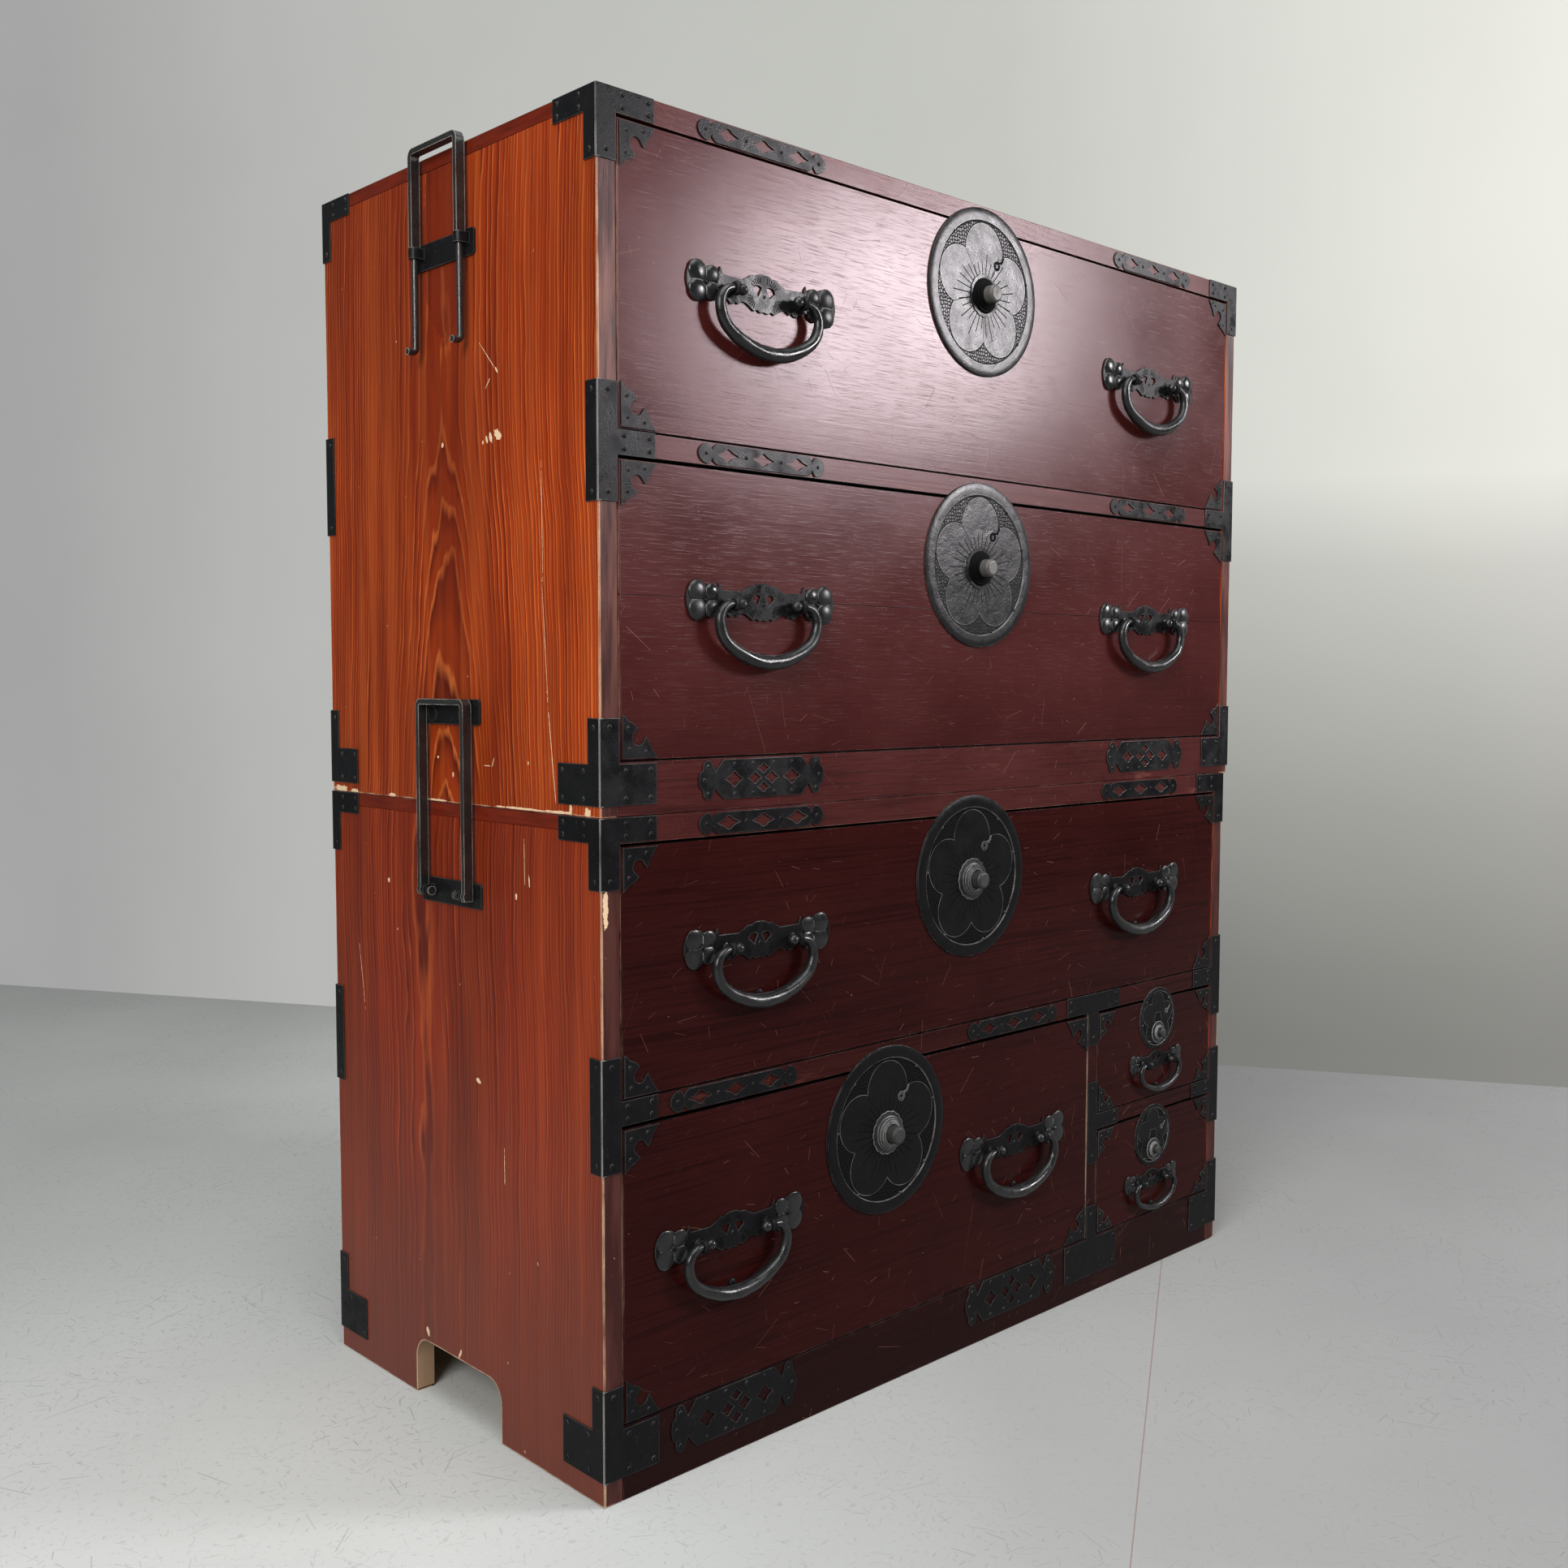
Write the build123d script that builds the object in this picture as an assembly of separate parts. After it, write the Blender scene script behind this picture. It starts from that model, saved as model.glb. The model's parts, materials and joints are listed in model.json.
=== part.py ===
from build123d import *
import os
from dataclasses import dataclass
from math import atan2, degrees

# A two-tier clothing chest. Two cases of lacquered softwood stand one on the other, with six
# drawers between them, and every corner, lock, pull and handle is forged or cut from black iron.
#
# Millimetres. The front faces -Y, +X is to the right and +Z is up. The origin is on the floor,
# under the middle of the whole chest with its fittings. A "depth" is measured into the chest
# from its front face, and a "reach" is measured outwards from the face that carries a fitting.

# ---------------------------------------------------------------- cases
case_depth = 430.0
lower_width = 900.0
upper_overhang = 8.0      # the upper case is wider than the lower one, all of it at the right
side_t = 18.0             # side boards
lip_t = 12.0              # tongue of each top board that laps over its side boards
back_t = 9.0              # back panels
rail_depth = 24.0         # drawer rails, front to back
dust_t = 8.0              # boards behind the rails, which the drawers slide on
floor_t = 8.0             # bottom boards
edge_break = 0.8          # worn arris of boards and drawer fronts

base_rail_h = 62.0        # lower case, upwards from the floor
wide_opening_h = 244.0
rail_h = 21.0
third_opening_h = 205.0
lower_top_t = 21.0
small_lower_opening_h = 116.0
small_rail_h = 17.0

upper_base_h = 44.0       # upper case, upwards from its underside
second_opening_h = 237.0
upper_rail_h = 20.0
top_opening_h = 237.0
upper_top_t = 19.0

wide_opening_w = 625.0    # the drawer beside the two small ones
divider_t = 17.0

foot_front = 147.0        # cut-out at the foot of each lower side: depth of its two ends
foot_back = 288.0
foot_h = 54.0
foot_r = 20.0

# ---------------------------------------------------------------- drawers
front_t = 22.0            # drawer fronts
tray_t = 11.0             # drawer sides and backs
tray_floor_t = 7.0
tray_drop = 8.0           # drawer sides are lower than the front by this
tray_back_gap = 17.0      # from the back of a drawer to the back panel
side_gap = 1.6
top_gap = 1.8
slide_gap = 0.3

# ---------------------------------------------------------------- iron
strap_t = 1.2             # corner straps
strap_side_w = 15.0       # their legs on the side boards
strap_arm = 55.0          # their arms, from the corner
plate_t = 1.4             # openwork plates and drawer corner plates
corner_plate_w = 35.0
small_corner_plate_w = 28.0
corner_tip_share = 0.18   # width of a drawer plate's ends, in plate widths
corner_bite_share = 0.585 # middle of the bite, from both outer edges
corner_bite_r_share = 0.22
corner_inset = 1.6        # from the drawer front's edges
fit_gap = 0.3             # between iron pieces that move on one another

strip_length = 143.0      # openwork plates
strip_centre = 171.0      # middle of a plate, from the left edge of its case
strip_right_centre = 168.0  # and from the right edge
low_strip_centre = 139.5  # beside the wide drawer: from the left edge
low_strip_right_centre = 128.0  # and from the divider
strip_margin = 1.0        # a strip is lower than its rail by this, above and below
tall_plate_h = 33.0
base_plate_h = 41.0
end_lobe_share = 0.42     # radius of a plate's end lobe, in plate heights
lobe_bite_r = 2.6
lozenge_w = 30.0          # holes of a strip
lozenge_h = 11.0
lozenge_pitch = 39.5
small_lozenge_w = 22.0    # holes of a tall plate
petal_w = 15.0
petal_h = 9.5
petal_gap = 3.2           # from the middle of the flower to its petals

# straps: an arm along each rail, and a leg down the corner
arm_to_floor = 20.0
strap_leg = 36.0          # how far a leg runs on past its arm
base_arm_h = 40.0
upper_base_arm_h = 33.0
upper_base_arm_gap = 9.0
back_strap_w = 14.0
back_arm = 50.0

# carrying handles: a U of bar on edge that ends in round rods
bar_w = 5.0
bar_depth = 8.5
bar_reach = 4.0           # from the side of the upper case to the bar
handle_w = 77.0
handle_bend_r = 7.0
rod_d = 6.0
sleeve_wall = 2.1
sleeve_h = 9.0
pole_rise = 1.2           # crossbar above the top board
pole_shoulder_drop = 76.5  # from the top board down to the shoulder on the sleeves
rod_length = 92.0
hook_length = 8.5
hook_r = 4.0
handle_plate_w = 96.0
handle_plate_h = 22.0
handle_plate_t = 2.0
handle_plate_corner = 2.0
sleeve_rise = 3.0         # the sleeves sit above the middle of their plate
pivot_z = 475.0           # joining handles
crossbar_z = 644.0
pin_offset = 1.0          # the pins stand further out than the bar, so the handle leans in
pin_d = 4.8
pin_length = 14.0
pin_head_r = 4.0
pin_head_t = 2.0
eye_w = 5.0
eye_play = 1.3            # between the eyes and the legs of the handle
catch_r = 6.5
catch_spread = 51.0
catch_z = 631.0


@dataclass
class Lock:
    """Disc, push knob and bolt of one size of drawer lock."""
    disc_r: float
    disc_t: float
    rim_w: float
    washer_r: float
    washer_t: float
    collar_r: float
    collar_t: float
    knob_r: float
    knob_reach: float
    knob_drop: float      # the knob sits below the middle of the disc
    tail: float           # inner end of the knob, as a depth
    throw: float          # travel of the knob, and of the bolt that its ramp lifts
    bolt_w: float
    key_x: float
    key_z: float


@dataclass
class Pull:
    """Plate, posts and bail of one size of drawer pull."""
    plate_w: float
    end_r: float          # round ends of the plate
    band_h: float         # the band between its ends
    lobe_x: float         # two small lobes on the band, at each side
    lobe_z: float
    lobe_r: float
    fan_w: float          # the fan in its middle
    fan_h: float
    hole_x: float         # its two lozenge holes
    hole_w: float
    hole_h: float
    pivot_drop: float     # the pivot sits below the middle of the plate
    pivot_reach: float
    post_x: float
    bail_w: float         # between the middles of the bar
    bail_drop: float
    bend_r: float         # shoulders of the bail
    corner_r: float       # its lower corners
    neck_r: float
    bar_r: float
    tip_r: float


large_lock = Lock(disc_r=78.5, disc_t=2.2, rim_w=12.0, washer_r=18.5, washer_t=1.4, collar_r=15.5,
                  collar_t=3.4, knob_r=8.5, knob_reach=18.0, knob_drop=3.0, tail=8.0, throw=7.0,
                  bolt_w=15.0, key_x=19.0, key_z=28.0)
small_lock = Lock(disc_r=34.5, disc_t=1.8, rim_w=4.0, washer_r=11.5, washer_t=1.0, collar_r=8.0,
                  collar_t=1.6, knob_r=5.0, knob_reach=10.0, knob_drop=16.0, tail=6.0, throw=5.0,
                  bolt_w=9.0, key_x=17.0, key_z=6.0)
large_pull = Pull(plate_w=168.0, end_r=15.0, band_h=18.0, lobe_x=48.0, lobe_z=6.0, lobe_r=7.0,
                  fan_w=52.0, fan_h=32.0, hole_x=9.5, hole_w=13.0, hole_h=8.0, pivot_drop=2.5,
                  pivot_reach=10.0, post_x=38.5, bail_w=111.0, bail_drop=48.0, bend_r=14.0,
                  corner_r=24.0, neck_r=3.0, bar_r=6.5, tip_r=4.6)
small_pull = Pull(plate_w=102.0, end_r=9.5, band_h=12.0, lobe_x=29.0, lobe_z=4.0, lobe_r=4.5,
                  fan_w=34.0, fan_h=20.0, hole_x=6.0, hole_w=8.0, hole_h=5.0, pivot_drop=1.5,
                  pivot_reach=7.5, post_x=26.0, bail_w=75.0, bail_drop=29.5, bend_r=9.0,
                  corner_r=14.0, neck_r=2.0, bar_r=3.6, tip_r=3.2)

case_wall = 1.6           # lock case: folded sheet in a pocket behind the disc
case_depth_in = 18.0
case_below_knob = 13.0
bolt_depth = 3.0
bolt_t = 6.0
bolt_rest = 1.0           # the drawn bolt lies this far below the top of the drawer front
ramp_share = 0.7          # height of the knob's ramp at the face, in knob radii
key_r = 1.9
key_slot = 2.4
key_slot_length = 5.5
key_slot_angle = 50
key_depth = 14.0
ground_share = 0.7        # thickness of a disc inside its rim, in disc thicknesses
knob_round = 0.35         # rounding of a knob's cap, in knob radii
pull_plate_t = 1.8
post_wall = 2.0
post_w = 4.5
post_stem_r = 2.2
striker_r = 3.4
bail_sections = 9         # along half of a bail
bail_swell = 0.65         # below 1, a bail swells quickly from its neck

# ---------------------------------------------------------------- places that follow
upper_width = lower_width + upper_overhang
left_x = -upper_width / 2
lower_right_x = left_x + lower_width
upper_right_x = left_x + upper_width
front_y = (large_lock.knob_reach - strap_t - case_depth) / 2

wide_z0 = base_rail_h
wide_z1 = wide_z0 + wide_opening_h
small_lower_z1 = wide_z0 + small_lower_opening_h
small_upper_z0 = small_lower_z1 + small_rail_h
third_z0 = wide_z1 + rail_h
third_z1 = third_z0 + third_opening_h
seam_z = third_z1 + lower_top_t
second_z0 = seam_z + upper_base_h
second_z1 = second_z0 + second_opening_h
top_z0 = second_z1 + upper_rail_h
top_z1 = top_z0 + top_opening_h
top_z = top_z1 + upper_top_t

inner_x0 = left_x + side_t
lower_inner_x1 = lower_right_x - side_t
upper_inner_x1 = upper_right_x - side_t
divider_x0 = inner_x0 + wide_opening_w
divider_x1 = divider_x0 + divider_t
back_depth = case_depth - back_t
tray_end = back_depth - tray_back_gap
handle_y = front_y + case_depth / 2
rod_reach = bar_reach + bar_depth / 2
pin_reach = rod_reach + pin_offset
leg_y = (handle_w - bar_w) / 2


@dataclass
class Drawer:
    """One drawer: the opening that it fills, and where its lock and pulls sit."""
    name: str
    x0: float
    x1: float
    z0: float
    z1: float
    lock: Lock
    lock_shift: float     # from the middle of the opening
    disc_drop: float      # from the top of the opening to the middle of the disc
    pull: Pull
    pull_shift: float
    pull_spread: float    # between two pulls, or 0 for a single one
    pull_drop: float      # from the top of the opening to the middle of the plate
    corner_w: float

    @property
    def lock_x(self):
        return (self.x0 + self.x1) / 2 + self.lock_shift

    @property
    def disc_z(self):
        return self.z1 - self.disc_drop

    @property
    def knob_z(self):
        return self.disc_z - self.lock.knob_drop

    @property
    def plate_z(self):
        return self.z1 - self.pull_drop

    @property
    def pull_xs(self):
        middle = (self.x0 + self.x1) / 2 + self.pull_shift
        if self.pull_spread == 0:
            return {"": middle}
        return {"left_": middle - self.pull_spread / 2, "right_": middle + self.pull_spread / 2}


drawers = [
    Drawer("top_drawer", inner_x0, upper_inner_x1, top_z0, top_z1, large_lock, 2.0, 62.0,
           large_pull, -1.0, 564.0, 111.0, corner_plate_w),
    Drawer("second_drawer", inner_x0, upper_inner_x1, second_z0, second_z1, large_lock, 0.0, 63.0,
           large_pull, -1.0, 566.0, 108.5, corner_plate_w),
    Drawer("third_drawer", inner_x0, lower_inner_x1, third_z0, third_z1, large_lock, -4.0, 61.0,
           large_pull, -4.0, 559.0, 92.0, corner_plate_w),
    Drawer("wide_drawer", inner_x0, divider_x0, wide_z0, wide_z1, large_lock, -3.0, 62.0,
           large_pull, -4.5, 382.0, 110.5, corner_plate_w),
    Drawer("small_upper_drawer", divider_x1, lower_inner_x1, small_upper_z0, wide_z1, small_lock,
           2.0, 23.0, small_pull, 0.0, 0.0, 70.0, small_corner_plate_w),
    Drawer("small_lower_drawer", divider_x1, lower_inner_x1, wide_z0, small_lower_z1, small_lock,
           -4.0, 27.0, small_pull, -6.0, 0.0, 76.0, small_corner_plate_w),
]


# ---------------------------------------------------------------- building blocks
def block(x0, x1, depth0, depth1, z0, z1):
    """A straight block between two depths."""
    middle = Pos((x0 + x1) / 2, front_y + (depth0 + depth1) / 2, (z0 + z1) / 2)
    return middle * Box(x1 - x0, depth1 - depth0, z1 - z0)


def board(x0, x1, depth0, depth1, z0, z1):
    """A block with broken arrises."""
    solid = block(x0, x1, depth0, depth1, z0, z1)
    return chamfer(solid.edges(), edge_break)


def front_plane(x, z, reach=0.0):
    return Plane(origin=(x, front_y - reach, z), x_dir=(1, 0, 0), z_dir=(0, -1, 0))


def side_plane(x, z, out):
    """A plane on a side of the chest at the handles' depth. out is -1 at the left, 1 at the right."""
    return Plane(origin=(x, handle_y, z), x_dir=(0, out, 0), z_dir=(out, 0, 0))


def on_front(sketch, x, z, thickness, reach=0.0):
    return extrude(front_plane(x, z, reach) * sketch, amount=thickness)


def along_y(radius, x, z, depth0, depth1):
    """A round bar from one depth to another."""
    plane = Plane(origin=(x, front_y + depth0, z), x_dir=(1, 0, 0), z_dir=(0, 1, 0))
    return extrude(plane * Circle(radius), amount=depth1 - depth0)


def pocket_for_bolt(drawer):
    """The mortise above a drawer that its bolt rises into."""
    half_w = drawer.lock.bolt_w / 2 + fit_gap
    return block(drawer.lock_x - half_w, drawer.lock_x + half_w, bolt_depth - fit_gap,
                 bolt_depth + bolt_t + fit_gap, drawer.z1, drawer.z1 + drawer.lock.throw)


def cut_mortises(rail, *names):
    for drawer in drawers:
        if drawer.name in names:
            rail = rail - pocket_for_bolt(drawer)
    return rail


# ---------------------------------------------------------------- cases
def foot_cutout(x0, x1):
    """The arched gap at the foot of a lower side board."""
    middle = (foot_front + foot_back) / 2
    opening = Pos(0, foot_h / 2) * Rectangle(foot_back - foot_front, foot_h)
    opening = fillet(opening.vertices().group_by(Axis.Y)[-1], foot_r)
    plane = Plane(origin=(x0, front_y + middle, 0), x_dir=(0, 1, 0), z_dir=(1, 0, 0))
    return extrude(plane * opening, amount=x1 - x0)


def side_board(x0, x1, z0, z1):
    return board(x0, x1, 0, case_depth, z0, z1 - lip_t)


def top_board(x0, x1, z1, thickness):
    """A top board, whose upper part laps over the side boards."""
    body = block(x0 + side_t, x1 - side_t, 0, case_depth - back_t, z1 - thickness, z1 - lip_t)
    lap = block(x0, x1, 0, case_depth, z1 - lip_t, z1)
    lap = chamfer(lap.edges().group_by(Axis.Z)[-1], edge_break)
    return body + lap


def lower_case():
    z_lap = seam_z - lip_t
    sides = {}
    for name, x0, x1 in (("left", left_x, inner_x0), ("right", lower_inner_x1, lower_right_x)):
        sides["lower_" + name + "_side"] = side_board(x0, x1, 0, seam_z) - foot_cutout(x0, x1)
    top = cut_mortises(top_board(left_x, lower_right_x, seam_z, lower_top_t), "third_drawer")
    back = block(inner_x0, lower_inner_x1, back_depth, case_depth, 0, z_lap)

    base = board(inner_x0, lower_inner_x1, 0, rail_depth, 0, wide_z0)
    rail = board(inner_x0, lower_inner_x1, 0, rail_depth, wide_z1, third_z0)
    rail = cut_mortises(rail, "wide_drawer", "small_upper_drawer")
    divider = block(divider_x0, divider_x1, 0, rail_depth, wide_z0, wide_z1)
    divider += block(divider_x0, divider_x1, rail_depth, back_depth, wide_z0, third_z0 - dust_t)
    small_rail = board(divider_x1, lower_inner_x1, 0, rail_depth, small_lower_z1, small_upper_z0)
    small_rail = cut_mortises(small_rail, "small_lower_drawer")

    floor = block(inner_x0, lower_inner_x1, rail_depth, back_depth, wide_z0 - floor_t, wide_z0)
    dust = block(inner_x0, lower_inner_x1, rail_depth, back_depth, third_z0 - dust_t, third_z0)
    shelf = block(divider_x1, lower_inner_x1, rail_depth, back_depth,
                  small_upper_z0 - dust_t, small_upper_z0)
    return sides | {
        "lower_top_board": top,
        "lower_back_panel": back,
        "lower_frame_rails": [base, rail, divider, small_rail],
        "lower_inner_boards": [floor, dust, shelf],
    }


def upper_case():
    z_lap = top_z - lip_t
    top = cut_mortises(top_board(left_x, upper_right_x, top_z, upper_top_t), "top_drawer")
    back = block(inner_x0, upper_inner_x1, back_depth, case_depth, seam_z, z_lap)
    base = board(inner_x0, upper_inner_x1, 0, rail_depth, seam_z, second_z0)
    rail = board(inner_x0, upper_inner_x1, 0, rail_depth, second_z1, top_z0)
    rail = cut_mortises(rail, "second_drawer")
    floor = block(inner_x0, upper_inner_x1, rail_depth, back_depth, second_z0 - floor_t, second_z0)
    dust = block(inner_x0, upper_inner_x1, rail_depth, back_depth, top_z0 - dust_t, top_z0)
    return {
        "upper_left_side": side_board(left_x, inner_x0, seam_z, top_z),
        "upper_right_side": side_board(upper_inner_x1, upper_right_x, seam_z, top_z),
        "upper_top_board": top,
        "upper_back_panel": back,
        "upper_frame_rails": [base, rail],
        "upper_inner_boards": [floor, dust],
    }


# ---------------------------------------------------------------- straps on the corners
def corner_strap(x, out, arm, leg, at_back=False, side_arm=True, front_arm=True):
    """A strap folded round a vertical corner. arm and leg are its lowest and highest points."""
    def plate(reach, z0, z1, on_side):
        """One wing, from the corner inwards: on the side board, or on the front or back."""
        if on_side:
            depth0, depth1 = (case_depth - reach, case_depth) if at_back else (0.0, reach)
            return block(*sorted((x, x + out * strap_t)), depth0, depth1, z0, z1)
        depth0, depth1 = (case_depth, case_depth + strap_t) if at_back else (-strap_t, 0.0)
        return block(*sorted((x - out * reach, x + out * strap_t)), depth0, depth1, z0, z1)

    face_leg = back_strap_w if at_back else side_t
    side_leg = back_strap_w if at_back else strap_side_w
    arm_reach = back_arm if at_back else strap_arm
    solid = plate(face_leg, *leg, on_side=False) + plate(side_leg, *leg, on_side=True)
    if front_arm:
        solid += plate(arm_reach, *arm, on_side=False)
    if side_arm:
        solid += plate(arm_reach, *arm, on_side=True)
    return solid


def case_straps(x1, arms):
    """Straps at the four corners of a case. arms: (arm, leg, whether the arm turns the corner)."""
    straps = []
    for arm, leg, turns in arms:
        for x, out in ((left_x, -1), (x1, 1)):
            straps.append(corner_strap(x, out, arm, leg, side_arm=turns))
            straps.append(corner_strap(x, out, arm, leg, at_back=True, side_arm=turns,
                                       front_arm=False))
    return straps


def t_iron(z0, z1, leg_z0, leg_z1, arm_x0, arm_x1, leg_x0, leg_x1):
    """A flat iron on the front where the divider or the small rail meets its neighbours."""
    arm = block(arm_x0, arm_x1, -strap_t, 0, z0, z1)
    return arm + block(leg_x0, leg_x1, -strap_t, 0, leg_z0, leg_z1)


def lower_straps():
    base_arm = (arm_to_floor, arm_to_floor + base_arm_h)
    base_leg = (arm_to_floor, base_arm[1] + strap_leg)
    rail_arm = (wide_z1, third_z0)
    rail_leg = (wide_z1 - strap_leg, third_z0 + strap_leg)
    top_arm = (third_z1, seam_z)
    top_leg = (third_z1 - strap_leg, seam_z)
    straps = case_straps(lower_right_x, [(base_arm, base_leg, True), (rail_arm, rail_leg, False),
                                         (top_arm, top_leg, True)])
    small_leg = (small_lower_z1 - strap_leg, small_upper_z0 + strap_leg)
    straps.append(corner_strap(lower_right_x, 1, (small_lower_z1, small_upper_z0), small_leg,
                               side_arm=False))
    half_arm = strap_arm - divider_t / 2
    middle = (divider_x0 + divider_x1) / 2
    straps.append(t_iron(*base_arm, *base_leg, middle - half_arm, middle + half_arm,
                         divider_x0, divider_x1))
    straps.append(t_iron(*rail_arm, wide_z1 - strap_leg, wide_z1, middle - half_arm,
                         middle + half_arm, divider_x0, divider_x1))
    straps.append(t_iron(small_lower_z1, small_upper_z0, *small_leg, divider_x0,
                         middle + half_arm, divider_x0, divider_x1))
    return straps


def upper_straps():
    base_arm = (seam_z + upper_base_arm_gap, seam_z + upper_base_arm_gap + upper_base_arm_h)
    base_leg = (base_arm[0], base_arm[1] + strap_leg)
    rail_arm = (second_z1, top_z0)
    rail_leg = (second_z1 - strap_leg, top_z0 + strap_leg)
    top_arm = (top_z1, top_z)
    top_leg = (top_z1 - strap_leg, top_z)
    return case_straps(upper_right_x, [(base_arm, base_leg, True), (rail_arm, rail_leg, False),
                                       (top_arm, top_leg, True)])


# ---------------------------------------------------------------- openwork plates
def lozenge(width, height):
    return Polygon((-width / 2, 0), (0, -height / 2), (width / 2, 0), (0, height / 2))


def lobed_outline(length, height):
    """A long plate with a round lobe at each end, set off by bites."""
    lobe_r = height * end_lobe_share
    body_w = length - 2 * lobe_r
    outline = Rectangle(body_w, height)
    for side in (-1, 1):
        outline += Pos(side * (length / 2 - lobe_r), 0) * Circle(lobe_r)
        for up in (-1, 1):
            outline -= Pos(side * body_w / 2, up * height / 2) * Circle(lobe_bite_r)
    return outline


def strip(height):
    """A rail's plate, pierced with three lozenges."""
    outline = lobed_outline(strip_length, height)
    for step in (-1, 0, 1):
        outline -= Pos(step * lozenge_pitch, 0) * lozenge(lozenge_w, lozenge_h)
    return outline


def tall_plate(height):
    """A base rail's plate: a flower of four lozenges between two single ones."""
    outline = lobed_outline(strip_length, height)
    for side in (-1, 1):
        outline -= Pos(side * lozenge_pitch, 0) * lozenge(small_lozenge_w, lozenge_h)
        outline -= Pos(side * (petal_w / 2 + petal_gap), 0) * lozenge(petal_w, petal_h)
        outline -= Pos(0, side * (petal_h / 2 + petal_gap)) * lozenge(petal_w, petal_h)
    return outline


def plate_pair(xs, z0, z1, sketch):
    return [on_front(sketch, x, (z0 + z1) / 2, plate_t) for x in xs]


def lower_openwork():
    outer = (left_x + strip_centre, lower_right_x - strip_right_centre)
    low = (left_x + low_strip_centre, divider_x0 - low_strip_right_centre)
    return (plate_pair(outer, third_z1, seam_z, strip(lower_top_t - 2 * strip_margin))
            + plate_pair(low, wide_z1, third_z0, strip(rail_h - 2 * strip_margin))
            + plate_pair(low, arm_to_floor, arm_to_floor + base_plate_h, tall_plate(base_plate_h)))


def upper_openwork():
    base_z0 = seam_z + upper_base_arm_gap
    outer = (left_x + strip_centre, upper_right_x - strip_right_centre)
    return (plate_pair(outer, top_z1, top_z, strip(upper_top_t - 2 * strip_margin))
            + plate_pair(outer, second_z1, top_z0, strip(upper_rail_h - 2 * strip_margin))
            + plate_pair(outer, base_z0, base_z0 + tall_plate_h, tall_plate(tall_plate_h)))


# ---------------------------------------------------------------- handles on the sides
def handle_plate(x, z, out):
    sketch = Rectangle(handle_plate_w, handle_plate_h)
    sketch = chamfer(sketch.vertices(), handle_plate_corner)
    return extrude(side_plane(x, z, out) * sketch, amount=handle_plate_t)


def u_bar(x, out, z_low, z_high):
    """A U of bar on edge, open at the bottom, standing off the upper case."""
    height = z_high - z_low
    outer = Pos(0, height / 2) * Rectangle(handle_w, height)
    outer = fillet(outer.vertices().group_by(Axis.Y)[-1], handle_bend_r)
    inner = Pos(0, (height - bar_w) / 2) * Rectangle(handle_w - 2 * bar_w, height - bar_w)
    inner = fillet(inner.vertices().group_by(Axis.Y)[-1], handle_bend_r - bar_w)
    plane = side_plane(x + out * bar_reach, z_low, out)
    return extrude(plane * (outer - inner), amount=bar_depth)


def rod_with_hook(x, out, y_shift, z_top):
    """A round rod that runs down and turns outwards at its foot."""
    z_foot = z_top - rod_length + rod_d / 2
    start = Vector(x + out * rod_reach, handle_y + y_shift, z_top)
    foot = Vector(start.X, start.Y, z_foot)
    tip = Vector(start.X + out * hook_length, start.Y, z_foot)
    path = FilletPolyline(start, foot, tip, radius=hook_r)
    return sweep(Plane(origin=start, z_dir=(0, 0, -1)) * Circle(rod_d / 2), path=path)


def ring_on_stem(centre, along, x_face, out, width, held_d):
    """An eye round a rod or pin: a ring whose hole runs along Y or Z, on a stem from its plate."""
    bore_r = held_d / 2 + fit_gap
    outer_r = bore_r + sleeve_wall
    ring = Plane(origin=centre, z_dir=along) * Cylinder(outer_r, width)
    stem_x = sorted((x_face, centre.X))
    stem_size = (stem_x[1] - stem_x[0], 2 * outer_r, width)
    if abs(along.Y) > 0:
        stem_size = (stem_size[0], width, 2 * outer_r)
    stem = Pos((stem_x[0] + stem_x[1]) / 2, centre.Y, centre.Z) * Box(*stem_size)
    return ring + stem - Plane(origin=centre, z_dir=along) * Cylinder(bore_r, width)


def pole_handle(x, out):
    shoulder = top_z - pole_shoulder_drop
    bow = u_bar(x, out, shoulder, top_z + pole_rise + bar_w)
    for side in (-1, 1):
        bow += rod_with_hook(x, out, side * leg_y, shoulder)
    return bow


def pole_plate(x, out):
    """The plate on the upper case, with the two sleeves that guide a carrying handle."""
    sleeve_top = top_z - pole_shoulder_drop - fit_gap
    pieces = [handle_plate(x, sleeve_top - sleeve_h / 2 - sleeve_rise, out)]
    for side in (-1, 1):
        centre = Vector(x + out * rod_reach, handle_y + side * leg_y, sleeve_top - sleeve_h / 2)
        pieces.append(ring_on_stem(centre, Vector(0, 0, 1), x + out * handle_plate_t, out, sleeve_h,
                                   rod_d))
    return pieces


def joining_handle(out):
    """The U that stands on the lower case and reaches over the seam."""
    x = left_x if out < 0 else upper_right_x
    bow = u_bar(x, out, pivot_z - bar_depth / 2, crossbar_z)
    pin_x = x + out * pin_reach
    knuckle = Plane(origin=(pin_x, handle_y, pivot_z), z_dir=(0, 1, 0))
    for side in (-1, 1):
        leg_in = side * (handle_w / 2 - bar_w)
        pin_end = leg_in - side * pin_length
        bow += knuckle * Pos(0, 0, side * leg_y) * Cylinder(bar_depth / 2, bar_w)
        bow += knuckle * Pos(0, 0, (leg_in + pin_end) / 2) * Cylinder(pin_d / 2, pin_length)
        bow += knuckle * Pos(0, 0, pin_end + side * pin_head_t / 2) * Cylinder(pin_head_r, pin_head_t)
    return bow


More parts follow.
